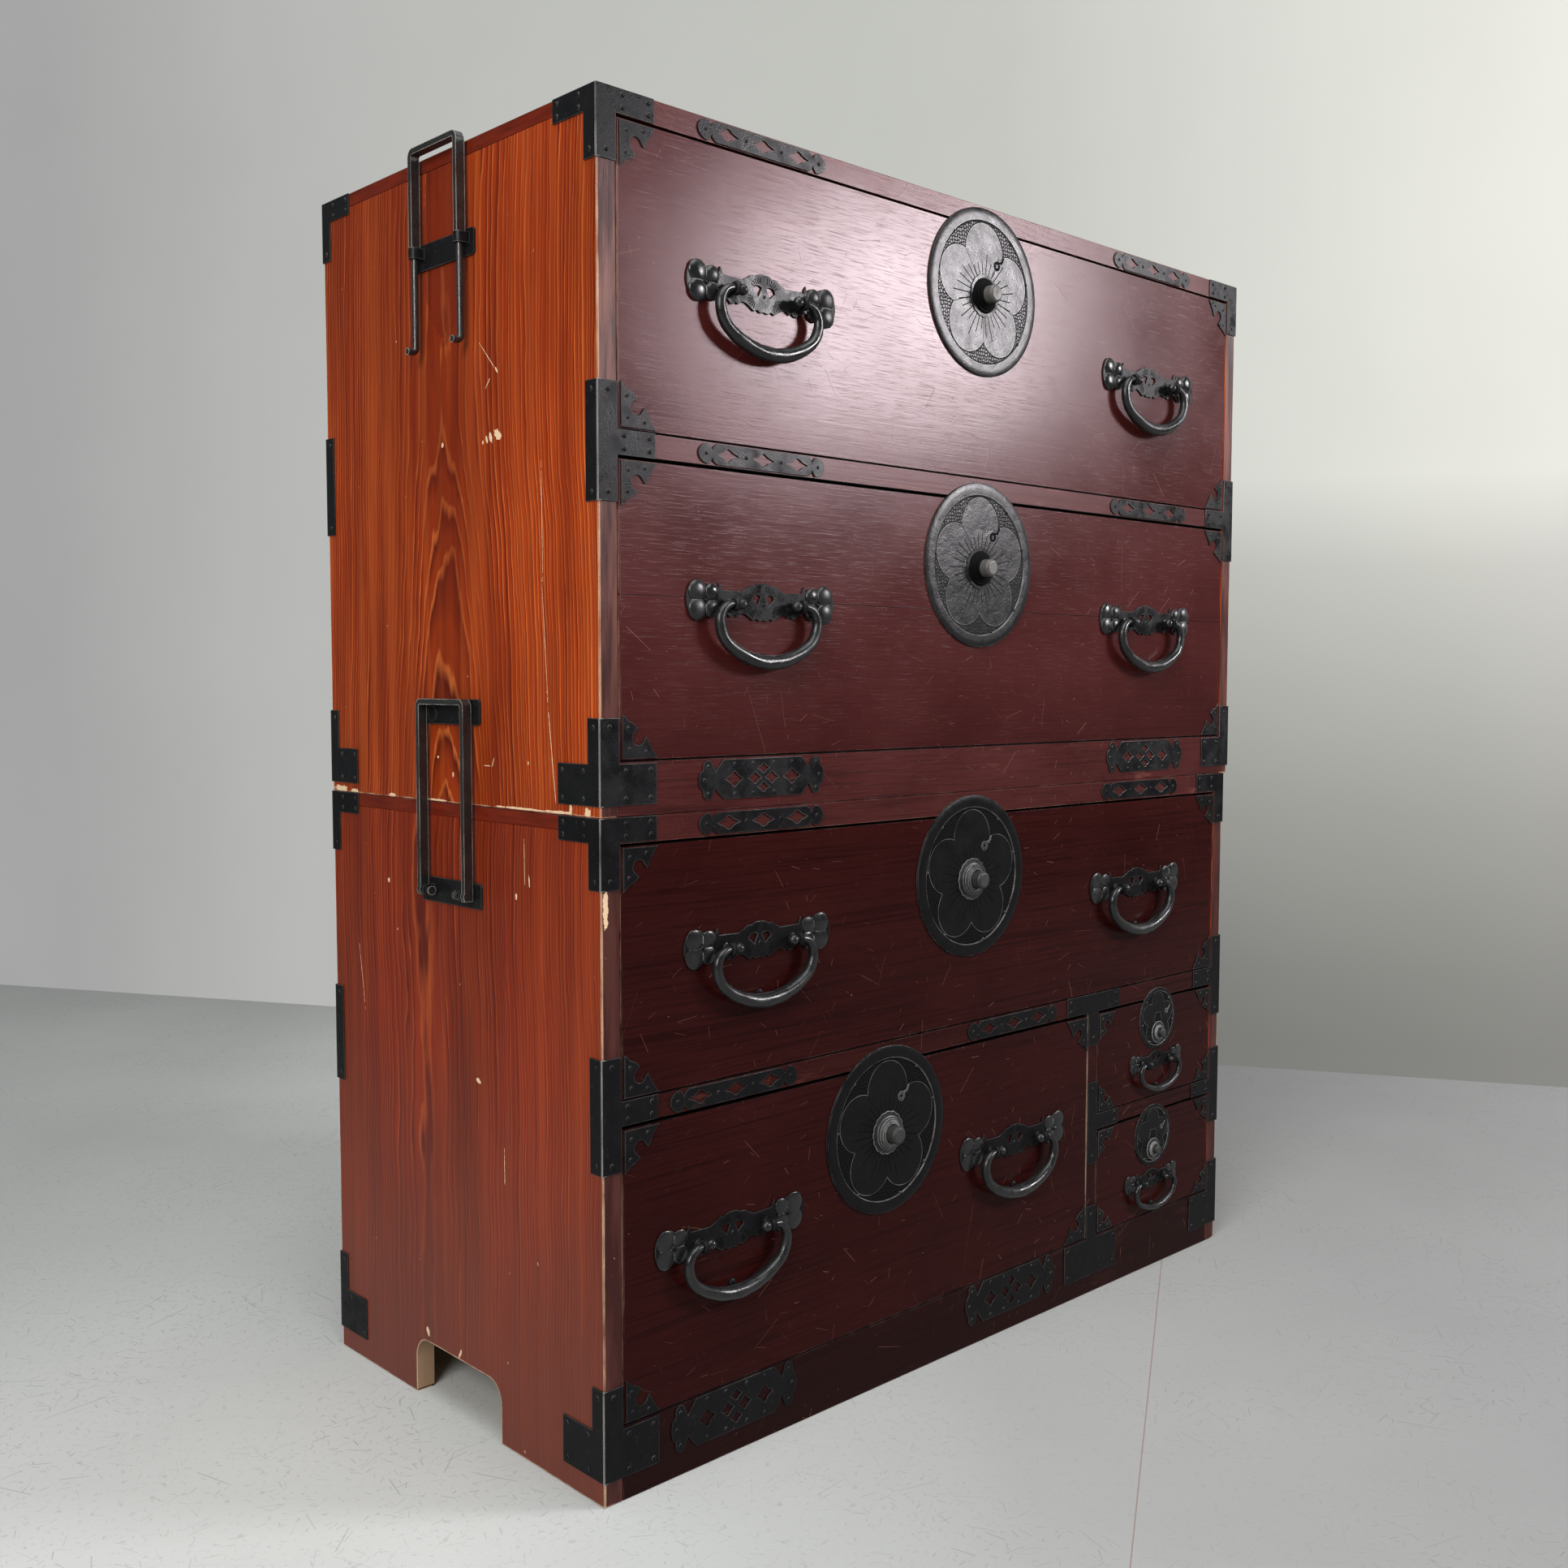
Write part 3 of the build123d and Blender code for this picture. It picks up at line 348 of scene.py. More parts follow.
upper_side_finish = side_lacquer(
    "upper_side_lacquer", arch_foot=-1.05, arch_top=0.875, arch_y=arch_line,
    early=(0.30, 0.034, 0.0035), late=(0.095, 0.007, 0.002), line=(0.56, 0.125, 0.025),
    foot_tone=(0.20, 0.024, 0.006), joint=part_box("upper_left_side")[1][2],
    chip_places=upper_chips, handle_shade=(8.4 * mm, 1.035, 0.085))
lower_side_finish = side_lacquer(
    "lower_side_lacquer", arch_foot=-1.60, arch_top=-0.10, arch_y=arch_line + 40 * mm,
    early=(0.215, 0.022, 0.0045), late=(0.085, 0.007, 0.003), line=(0.34, 0.060, 0.013),
    foot_tone=(0.128, 0.034, 0.021), joint=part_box("lower_left_side")[1][2],
    chip_places=lower_chips)
dress(upper_side_finish, "upper_left_side", "upper_right_side")
dress(lower_side_finish, "lower_left_side", "lower_right_side")

# ---------------------------------------------------------------- drawer fronts and rails
# Straight-grained boards under dark red-brown lacquer that has been polished for decades. It is
# scratched all over, thin along the grain, and rubbed to bare wood on the arrises.
paler_upper_lacquer = (0.105, 0.0190, 0.0175)
foot_shade_colour = (0.006, 0.0022, 0.0020)
scratched_lacquer = (0.40, 0.18, 0.12)
chipped_lacquer = (0.40, 0.17, 0.11)
pale_arris = (0.48, 0.33, 0.25)
seam_line = (0.012, 0.004, 0.003)
gap_shade = (0.003, 0.0015, 0.0015)
worn_rail = (0.20, 0.062, 0.048)
board_end_lacquer = (0.125, 0.013, 0.004)


def front_lacquer(name, deep, thin, worn, worn_from, gloss, shine, foot_shade, seams=(), gaps=True):
    """foot_shade is how dark the foot of the chest is painted, as a painted shade towards the
    floor. seams are the heights at which two boards are joined edge to edge. With gaps, the faces
    that look up or down are painted black, as the shade between a drawer and a rail."""
    finish = Finish(name)
    x, _, z = finish.place()
    grain = finish.stretched(0.16, 0.05, 0.0030, 4.0, 0.65)
    broad = finish.stretched(0.45, 0.2, 0.030, 3.0)
    fine = finish.stretched(0.022, 0.03, 0.0006, 3.0, 0.7)
    cloud = finish.stretched(0.16, 0.2, 0.12, 4.0)
    colour = finish.ramp(grain * 0.6 + broad * 0.4, [(0.38, deep), (0.51, thin), (0.63, deep)])
    colour = finish.tint(finish.tint(colour, cloud, 0.45), fine, 0.42)
    # The lacquer turns paler towards the upper case.
    colour = finish.mix(finish.rise(z, 0.50, 0.70, 0.45) * (cloud + 0.5), colour, paler_upper_lacquer)
    rub = finish.stretched(0.05, 0.05, 0.007, 5.0, 0.7) * cloud
    rub = finish.rise(rub, worn_from, worn_from + 0.08)
    colour = finish.mix(rub * 0.55, colour, worn)
    # Painted shade: the lacquer darkens towards the floor.
    painted_foot_shade = finish.ramp(z, [(0.03, foot_shade), (0.36, 0.5 * foot_shade), (0.56, 0.0)])
    colour = finish.mix(painted_foot_shade, colour, foot_shade_colour)
    marks = finish.any(finish.scratches(x, z, 0.060, 0.019, 0.34 * mm, 1.3),
                       finish.scratches(x, z, 0.026, 0.006, 0.36 * mm, 7.7) * 0.8,
                       finish.scratches(x, z, 0.170, 0.080, 0.30 * mm, 4.1) * 0.5)
    marks = marks * finish.ramp(finish.blobs(0.16, 2.0), [(0.38, 0.15), (0.60, 1.0)])
    chips = finish.rise(finish.stretched(0.005, 0.006, 0.003, 3.0), 0.76, 0.785)
    colour = finish.mix(marks * 0.60, colour, scratched_lacquer)
    colour = finish.mix(chips * 0.5, colour, chipped_lacquer)
    end_grain = finish.ramp(finish.stretched(0.01, 0.01, 0.03, 4.0), [(0.36, 0.15), (0.60, 1.0)])
    end_grain = end_grain * (finish.facing()[0] < -0.9)
    rubbed = finish.rubbed_edges(1.4 * mm, 0.05, 0.12) * (0.55 if gaps else 0.35)
    colour = finish.mix(end_grain | rubbed, colour, pale_arris)
    for height in seams:
        sway = finish.stretched(0.08, 0.08, 1.0, 1.0) * 0.003 + (height - 0.0015)
        colour = finish.mix(abs(z - sway) < 0.35 * mm, colour, seam_line)
    # Painted shade: faces that look up or down, in the gaps, are painted near black.
    if gaps:
        colour = finish.mix(abs(finish.facing("True Normal")[2]) > 0.7, colour, gap_shade)
    pores = finish.rise(finish.stretched(0.030, 0.03, 0.0007, 3.0, 0.6), 0.56, 0.70)
    normal = finish.raise_by(pores * -0.35 + (fine * 0.25 + grain), 0.05 * mm)
    normal = finish.raise_by(marks * -1.0, 0.06 * mm, Normal=normal)
    rough = cloud * 0.20 + gloss + (pores * 0.10 + marks * 0.20)
    finish.surface(Base_Color=colour, Roughness=rough, Normal=normal, Specular_IOR_Level=shine,
                   Specular_Tint=(1.0, 0.84, 0.88, 1.0))
    return finish, colour


drawers = ["top_drawer", "second_drawer", "third_drawer", "wide_drawer", "small_upper_drawer",
           "small_lower_drawer"]
upper_drawers, lower_drawers = drawers[:2], drawers[2:]
# The lacquer of the lower case has lost most of its polish.
for case, shine, its_drawers in (("upper", 0.20, upper_drawers), ("lower", 0.06, lower_drawers)):
    drawer_finish, _ = front_lacquer(
        case + "_drawer_lacquer", deep=(0.0155, 0.0024, 0.0023), thin=(0.029, 0.0050, 0.0044),
        worn=(0.085, 0.022, 0.018), worn_from=0.40, gloss=0.115, shine=shine, foot_shade=0.15,
        seams=(0.7275, 0.3850))
    rail_finish, _ = front_lacquer(
        case + "_rail_lacquer", deep=(0.028, 0.0048, 0.0045), thin=(0.058, 0.0115, 0.0095),
        worn=worn_rail, worn_from=0.33, gloss=0.18, shine=shine, foot_shade=0.85)
    dress(drawer_finish.material, *[name + "_front" for name in its_drawers])
    dress(rail_finish.material, case + "_frame_rails")

# The top boards are lacquered like the rails, and their ends, which lap over the sides, like the
# sides.
board_finish, front_colour = front_lacquer(
    "top_board_lacquer", deep=(0.030, 0.0050, 0.0046), thin=(0.060, 0.0120, 0.0098),
    worn=worn_rail, worn_from=0.33, gloss=0.18, shine=0.20, foot_shade=0.0, gaps=False)
end_grain = board_finish.stretched(0.006, 0.05, 0.005, 4.0)
end_colour = board_finish.tint(board_end_lacquer, end_grain, 0.75)
at_end = abs(board_finish.facing()[0]) > 0.9
board_finish.surface(Base_Color=board_finish.mix(at_end, front_colour, end_colour))
dress(board_finish.material, "upper_top_board", "lower_top_board")

# ---------------------------------------------------------------- inside wood
# Drawer trays, slide boards and back panels of bare planed softwood, gone brown with age.


def inner_wood(name, light, dark):
    finish = Finish(name)
    grain = finish.stretched(0.25, 0.25, 0.006, 4.0, 0.6)
    fine = finish.stretched(0.04, 0.04, 0.0012, 3.0, 0.7)
    colour = finish.ramp(grain, [(0.38, dark), (0.50, light), (0.62, dark)])
    colour = finish.tint(colour, fine, 0.18)
    colour = finish.tint(colour, finish.blobs(0.2), 0.25)
    finish.surface(Base_Color=colour, Roughness=0.72,
                   Normal=finish.raise_by(grain + fine, 0.12 * mm))
    return finish.material


tray_finish = inner_wood("tray_wood", (0.52, 0.36, 0.20), (0.40, 0.26, 0.14))
back_finish = inner_wood("back_wood", (0.26, 0.15, 0.08), (0.18, 0.095, 0.05))
dress(tray_finish, "upper_inner_boards", "lower_inner_boards",
      *[name + "_tray" for name in drawers])
dress(back_finish, "upper_back_panel", "lower_back_panel")

# ---------------------------------------------------------------- corner straps
# Strips of black iron about a millimetre thick, folded round the corners of both cases and nailed
# with round-headed nails. The folds are painted bright, as rubbed iron and as a painted highlight
# down each fold, and the cut edges a little.
lower_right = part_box("lower_right_side")[1][0]
upper_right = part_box("upper_right_side")[1][0]
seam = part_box("lower_top_board")[1][2]
case_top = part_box("upper_top_board")[1][2]
rust = (0.060, 0.038, 0.028)
fold_x = 0.4515


def black_iron(name, dark, bright, rough, gloss=0.45, bright_edge_from=0.015, folded=False):
    """Iron whose rubbed edges are painted bright, as wear and as a painted highlight along them. If
    it is folded round the corners of the chest, only the folds there are bright, with a painted
    highlight down each fold, and the cut edges hardly."""
    finish = Finish(name)
    patch = finish.blobs(0.020, 5.0, 0.65)
    pits = finish.blobs(0.0016, 3.0, 0.6)
    colour = finish.tint(finish.mix(patch, dark, tuple(2.0 * value for value in dark)), pits, 0.35)
    rusty = finish.rise(finish.blobs(0.006, 4.0), 0.62, 0.78, 0.4)
    # Painted highlight and wear: the rubbed edges, and most of all the folds, take the bright
    # colour.
    rubbed = finish.rubbed_edges(1.2 * mm, bright_edge_from, bright_edge_from * 5)
    if folded:
        x, y, _ = finish.place()
        at_fold = (abs(x) > fold_x) * (y < front + 0.5 * mm)
        rubbed = rubbed * (at_fold * 0.84 + 0.16)
    colour = finish.mix(rubbed, finish.mix(rusty, colour, rust), bright)
    finish.surface(Base_Color=colour, Metallic=0.12, Specular_IOR_Level=gloss,
                   Roughness=finish.rise(patch, 0.34, 0.66, 0.34) + rough,
                   Normal=finish.raise_by(pits * 0.6 + patch, 0.18 * mm))
    return finish.material


case_iron = {case: black_iron(case + "_black_iron", dark=(0.0055, 0.0056, 0.0062),
                              bright=(0.40, 0.38, 0.36), rough=0.16, gloss=gloss,
                              bright_edge_from=0.008, folded=True)
             for case, gloss in (("upper", 0.15), ("lower", 0.05))}
drawer_iron = {name: case_iron["upper" if name in upper_drawers else "lower"] for name in drawers}


def outline(points, steps=4):
    """A closed line through points: (x, y) is passed in a curve and (x, y, 0) is a sharp corner."""
    line = []
    count = len(points)
    for i, start in enumerate(points):
        end = points[(i + 1) % count]
        line.append(start[:2])
        if len(start) == 3 and len(end) == 3:
            continue
        before = points[i - 1] if len(start) == 2 else start
        after = points[(i + 2) % count] if len(end) == 2 else end
        for step in range(1, steps):
            t = step / steps
            weights = (-t + 2 * t**2 - t**3, 2 - 5 * t**2 + 3 * t**3,
                       t + 4 * t**2 - 3 * t**3, t**3 - t**2)
            pulls = list(zip(weights, (before, start, end, after)))
            line.append(tuple(0.5 * sum(w * p[axis] for w, p in pulls) for axis in (0, 1)))
    return line


def circle(x, y, radius, steps=20):
    return [(x + radius * cos(2 * pi * k / steps), y + radius * sin(2 * pi * k / steps))
            for k in range(steps)]


def cut_plate(edge_line, holes, thickness, rounding):
    """A flat plate in millimetres, with its back on z = 0 and a rounded rim."""
    curve = bpy.data.curves.new("plate", "CURVE")
    curve.dimensions = "2D"
    curve.fill_mode = "BOTH"
    curve.extrude = thickness / 2 - rounding
    curve.bevel_depth = rounding
    curve.bevel_resolution = 1
    curve.offset = -rounding
    for line in [edge_line, *holes]:
        spline = curve.splines.new("POLY")
        spline.points.add(len(line) - 1)
        for point, (x, y) in zip(spline.points, line):
            point.co = (x, y, 0, 1)
        spline.use_cyclic_u = True
    mesh = bpy.data.meshes.new_from_object(bpy.data.objects.new("plate", curve))
    mesh.transform(Matrix.Translation((0, 0, thickness / 2)))
    return mesh


def shift(x, y, z):
    return Matrix.Translation((x, y, z))


def flip(x, y=1):
    """Mirrors a piece where x or y is -1."""
    return Matrix.Diagonal((x, y, 1, 1))


def on_front(x, z, reach=0.0):
    """Places a piece made in millimetres on the front, where its z points out of the chest."""
    turn = Matrix(((1, 0, 0, 0), (0, 0, -1, 0), (0, 1, 0, 0), (0, 0, 0, 1)))
    return shift(x, front - reach, z) @ turn @ Matrix.Scale(mm, 4)


def on_side(face_x, y, z):
    """The same on the left or right side: its x points to the front at the left side."""
    out = -1 if face_x < 0 else 1
    turn = Matrix(((0, 0, out, 0), (out, 0, 0, 0), (0, 1, 0, 0), (0, 0, 0, 1)))
    return shift(face_x, y, z) @ turn @ Matrix.Scale(mm, 4)


def on_back(x, z):
    """The same on the back: its x points to the left."""
    turn = Matrix(((-1, 0, 0, 0), (0, 0, 1, 0), (0, 1, 0, 0), (0, 0, 0, 1)))
    return shift(x, back, z) @ turn @ Matrix.Scale(mm, 4)


class Ironwork:
    """Iron pieces that are fixed to one body, gathered into one object."""

    def __init__(self, name):
        self.name = name
        self.pieces = bmesh.new()

    def fix(self, mesh, place):
        part = mesh.copy()
        part.transform(place)
        self.pieces.from_mesh(part)

    def turned(self, profile, place, segments=14):
        """A piece turned round its z axis from (radius, height) points, tip first."""
        rings = []
        for radius, height in profile:
            if radius == 0:
                rings.append([self.pieces.verts.new(place @ Vector((0, 0, height)))] * segments)
                continue
            rings.append([self.pieces.verts.new(place @ Vector((x, y, height)))
                          for x, y in circle(0, 0, radius, segments)])
        for upper, lower in zip(rings, rings[1:]):
            for k in range(segments):
                corners = [upper[k - 1], lower[k - 1], lower[k], upper[k]]
                self.pieces.faces.new(list(dict.fromkeys(corners)))

    def nails(self, place, spots, foot, radius=2.2):
        """The domed heads of nails at (x, y) spots, from the height of their foot."""
        height = radius * 0.7
        head = [(0, height), (radius * 0.5, height * 0.87), (radius * 0.87, height * 0.5),
                (radius, 0.0)]
        for x, y in spots:
            self.turned(head, place @ shift(x, y, foot), 12)

    def make(self, material, body, smooth=35):
        mesh = bpy.data.meshes.new(self.name)
        bmesh.ops.recalc_face_normals(self.pieces, faces=self.pieces.faces)
        self.pieces.to_mesh(mesh)
        piece = bpy.data.objects.new(self.name, mesh)
        bpy.context.scene.collection.objects.link(piece)
        mesh.materials.append(material)
        mesh.shade_smooth()
        mesh.set_sharp_from_angle(angle=radians(smooth))
        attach(piece, body)
        return piece


strap_t = 1.2
strap_rim = 0.35
nail_in, leg_nail_in = 6, 7
leg_run = 36
front_arm, front_leg = 55, 18
side_arm, side_leg = 55, 15
back_arm, back_leg = 50, 14
base_arm = (20, 60)
small_drawer_rail = (178, 195)
wide_drawer_top, third_drawer_foot, third_drawer_top = 306, 327, 532
upper_base_arm = (562, 595)
second_drawer_top, top_drawer_foot, top_drawer_top = 834, 854, 1091


def strap(arm_w, arm, leg_w, leg):
    """An L or T from a corner at x = 0. arm and leg are heights in millimetres; leg spans arm."""
    corners = [(0, leg[0]), (leg_w, leg[0])]
    if leg[0] < arm[0]:
        corners.append((leg_w, arm[0]))
    corners += [(arm_w, arm[0]), (arm_w, arm[1])]
    if leg[1] > arm[1]:
        corners.append((leg_w, arm[1]))
    corners += [(leg_w, leg[1]), (0, leg[1])]
    return cut_plate(list(dict.fromkeys(corners)), [], strap_t, strap_rim)


def strap_nails(arm_w, arm, leg_w, leg):
    """Nails near the corners of the arm, and at the far ends of the leg."""
    inset = min(5.5, (arm[1] - arm[0]) / 4)
    spots = []
    if arm_w > leg_w:
        spots = [(x, z) for x in (arm_w - nail_in, leg_w + nail_in)
                 for z in (arm[0] + inset, arm[1] - inset)]
    if leg[1] > arm[1]:
        spots.append((leg_w / 2, leg[1] - leg_nail_in))
    if leg[0] < arm[0]:
        spots.append((leg_w / 2, leg[0] + leg_nail_in))
    return spots


def fix_corner(work, corner_x, arm, leg, side_turns, at_back=True):
    """The straps of one corner: a front wing, wings at both edges of the side, and a back wing.
    The arms of the side wings run along the side only where it turns into a top or a foot."""
    out = 1 if corner_x > 0 else -1
    fold = corner_x + out * strap_t * mm
    wings = [(on_front(fold, 0) @ flip(-out), front_arm + strap_t, front_leg + strap_t, 2.2),
             (on_side(corner_x, front, 0) @ flip(out), side_arm if side_turns else side_leg,
              side_leg, 2.0)]
    if at_back:
        wings.append((on_side(corner_x, back, 0) @ flip(-out),
                      back_arm if side_turns else back_leg, back_leg, 2.0))
    for place, arm_w, leg_w, nail_r in wings:
        work.fix(strap(arm_w, arm, leg_w, leg), place)
        work.nails(place, strap_nails(arm_w, arm, leg_w, leg), strap_t, nail_r)
    if at_back:
        place = on_back(fold, 0) @ flip(out)
        work.fix(strap(back_leg + strap_t, leg, back_leg + strap_t, leg), place)
        ends = [(back_leg / 2, leg[0] + leg_nail_in), (back_leg / 2, leg[1] - leg_nail_in)]
        work.nails(place, ends, strap_t - 0.8, 1.4)


lower_work = Ironwork("lower_ironwork")
upper_work = Ironwork("upper_ironwork")
for corner_x in (left, lower_right):
    fix_corner(lower_work, corner_x, base_arm, (base_arm[0], base_arm[1] + leg_run), True)
    fix_corner(lower_work, corner_x, (wide_drawer_top + 1, third_drawer_foot),
               (wide_drawer_top - leg_run, third_drawer_foot + leg_run), False)
    fix_corner(lower_work, corner_x, (third_drawer_top + 1, seam / mm),
               (third_drawer_top - leg_run, seam / mm), True)
for corner_x in (left, upper_right):
    fix_corner(upper_work, corner_x, upper_base_arm,
               (upper_base_arm[0], upper_base_arm[1] + leg_run), True)
    fix_corner(upper_work, corner_x, (second_drawer_top, top_drawer_foot),
               (second_drawer_top - leg_run, top_drawer_foot + leg_run), False)
    fix_corner(upper_work, corner_x, (top_drawer_top, case_top / mm),
               (top_drawer_top - leg_run, case_top / mm), True)

# ---------------------------------------------------------------- pierced plates
# Thin iron plates along the rails, lobed at the ends and pierced with cusped lozenges that let the
# red lacquer show. Some rails are high enough for a flower of four lozenges.
pierced_t = 1.3
flower_from = 25
strip_length = 143
strip_from_left, strip_from_right = 171, 168
low_strip_from_left, low_strip_from_divider = 139.5, 128
divider_x = left + 643 * mm


def cusped_lozenge(x, y, width, height):
    """A lozenge whose four sides are drawn in with a cusp."""
    quarter = [(0.5, 0, 0), (0.33, 0.13), (0.20, 0.24, 0), (0.11, 0.40), (0, 0.5, 0)]
    upper = quarter + [(-px, py, *rest) for px, py, *rest in quarter[-2::-1]]
    whole = upper + [(px, -py, *rest) for px, py, *rest in upper[-2:0:-1]]
    return outline([(x + px * width, y + py * height, *rest) for px, py, *rest in whole])


def headed_plate(end, height):
    """A plate with a rounded head at each end, from the upper right quarter of its outline. The
    points of end are measured from the tip, and their heights as shares of half the height."""
    right = [(strip_length / 2 - x, height / 2 * share, *rest) for x, share, *rest in end]
    right += [(x, -y, *rest) for x, y, *rest in right[-2::-1]]
    return outline(right + [(-x, y, *rest) for x, y, *rest in right[::-1]])


strip_head = [(20.0, 1.0, 0), (16.4, 0.72), (14.6, 0.36, 0), (13.4, 0.66), (10.5, 0.97),
              (5.6, 0.88), (1.5, 0.5), (0, 0)]
flower_head = [(27.0, 1.0, 0), (21.5, 0.68), (17.6, 0.42, 0), (16.0, 0.60), (13.2, 0.90),
               (9.2, 0.99), (5.0, 0.82), (4.4, 0.50, 0), (1.2, 0.36), (0, 0)]


def pierced_strip(height):
    holes = [cusped_lozenge(x, 0, 24, height * 0.62) for x in (-39.5, 0, 39.5)]
    return cut_plate(headed_plate(strip_head, height), holes, pierced_t, 0.35)


def pierced_flower(height):
    holes = [cusped_lozenge(x, 0, 19, height * 0.38) for x in (-33, 33)]
    holes += [cusped_lozenge(x, 0, 14.5, height * 0.29) for x in (-9.8, 9.8)]
    holes += [cusped_lozenge(0, y, 13, height * 0.24) for y in (-height * 0.24, height * 0.24)]
    return cut_plate(headed_plate(flower_head, height), holes, pierced_t, 0.35)


def fix_pair(work, xs, low, high):
    """The two plates of a rail. A rail that is high enough has the flower."""
    height = high - low
    tip = strip_length / 2
    if height > flower_from:
        plate = pierced_flower(height)
        spots = [(side * (tip - 5.5), 0) for side in (-1, 1)]
        spots += [(side * (tip - 9.5), edge * height * 0.34)
                  for side in (-1, 1) for edge in (-1, 1)]
        spots += [(x, edge * (height / 2 - 4.0)) for x in (-33, -12, 12, 33) for edge in (-1, 1)]
    else:
        plate = pierced_strip(height)
        spots = [(8 - tip, 0), (-19.7, 0), (19.7, 0), (tip - 8, 0)]
    for x in xs:
        place = on_front(x, (low + high) / 2 * mm)
        work.fix(plate, place)
        work.nails(place, spots, pierced_t, 1.7)


upper_pair = (left + strip_from_left * mm, upper_right - strip_from_right * mm)
lower_pair = (left + strip_from_left * mm, lower_right - strip_from_right * mm)
low_pair = (left + low_strip_from_left * mm, divider_x - low_strip_from_divider * mm)
fix_pair(upper_work, upper_pair, top_drawer_top + 0.5, case_top / mm - 1.5)
fix_pair(upper_work, upper_pair, second_drawer_top + 1.5, top_drawer_foot - 1.5)
fix_pair(upper_work, upper_pair, *upper_base_arm)
fix_pair(lower_work, lower_pair, third_drawer_top + 1.5, seam / mm - 1.5)
fix_pair(lower_work, low_pair, wide_drawer_top + 1.5, third_drawer_foot - 1.5)
fix_pair(lower_work, low_pair, base_arm[0], base_arm[1] + 1)

# ---------------------------------------------------------------- irons on the divider
# Flat T irons that tie the upright between the wide drawer and the small ones to its rails, and
# one on the right side where the short rail ends.
divider_w = 17
half_arm = 46.5


def fix_flat(corners, spots):
    place = on_front(divider_mid, 0)
    lower_work.fix(cut_plate(corners, [], strap_t, strap_rim), place)
    lower_work.nails(place, spots, strap_t)


half = divider_w / 2
divider_mid = divider_x + half * mm
arm_nail = half_arm - nail_in
low, high = base_arm
fix_flat([(-half_arm, low), (half_arm, low), (half_arm, high), (half, high),
          (half, high + leg_run), (-half, high + leg_run), (-half, high), (-half_arm, high)],
         [(-arm_nail, low + 6), (-arm_nail, high - 6), (arm_nail, low + 6), (arm_nail, high - 6),
          (0, high + 26)])
low, high = wide_drawer_top + 1, third_drawer_foot
fix_flat([(-half_arm, low), (-half, low), (-half, low - leg_run), (half, low - leg_run),
          (half, low), (half_arm, low), (half_arm, high), (-half_arm, high)],
         [(-arm_nail, low + 5), (-arm_nail, high - 5), (arm_nail, low + 5), (arm_nail, high - 5),
          (0, low - 28)])
low, high = small_drawer_rail
fix_flat([(-half, low - leg_run), (half, low - leg_run), (half, low), (half_arm, low),
          (half_arm, high), (half, high), (half, high + leg_run), (-half, high + leg_run)],
         [(arm_nail, low + 4), (arm_nail, high - 4), (0, low - 28), (0, high + 28)])
fix_corner(lower_work, lower_right, small_drawer_rail,
           (small_drawer_rail[0] - leg_run, small_drawer_rail[1] + leg_run), False, at_back=False)

lower_ironwork = lower_work.make(case_iron["lower"], "lower_case")
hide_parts("lower_iron_fittings")
upper_ironwork = upper_work.make(case_iron["upper"], "upper_case")
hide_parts("upper_iron_fittings")

# ---------------------------------------------------------------- lock discs
# Round iron plates over the locks, a little domed. Inside a plain rim five petals are chased, with
# fish-roe punch marks between them and short rays round the knob. A washer with a scalloped edge
# and a black stepped collar stand on the disc, and the key turns round a pin at the upper right.
chased_line = (0.002, 0.002, 0.002)
rubbed_and_lit_chasing = (0.45, 0.44, 0.43)


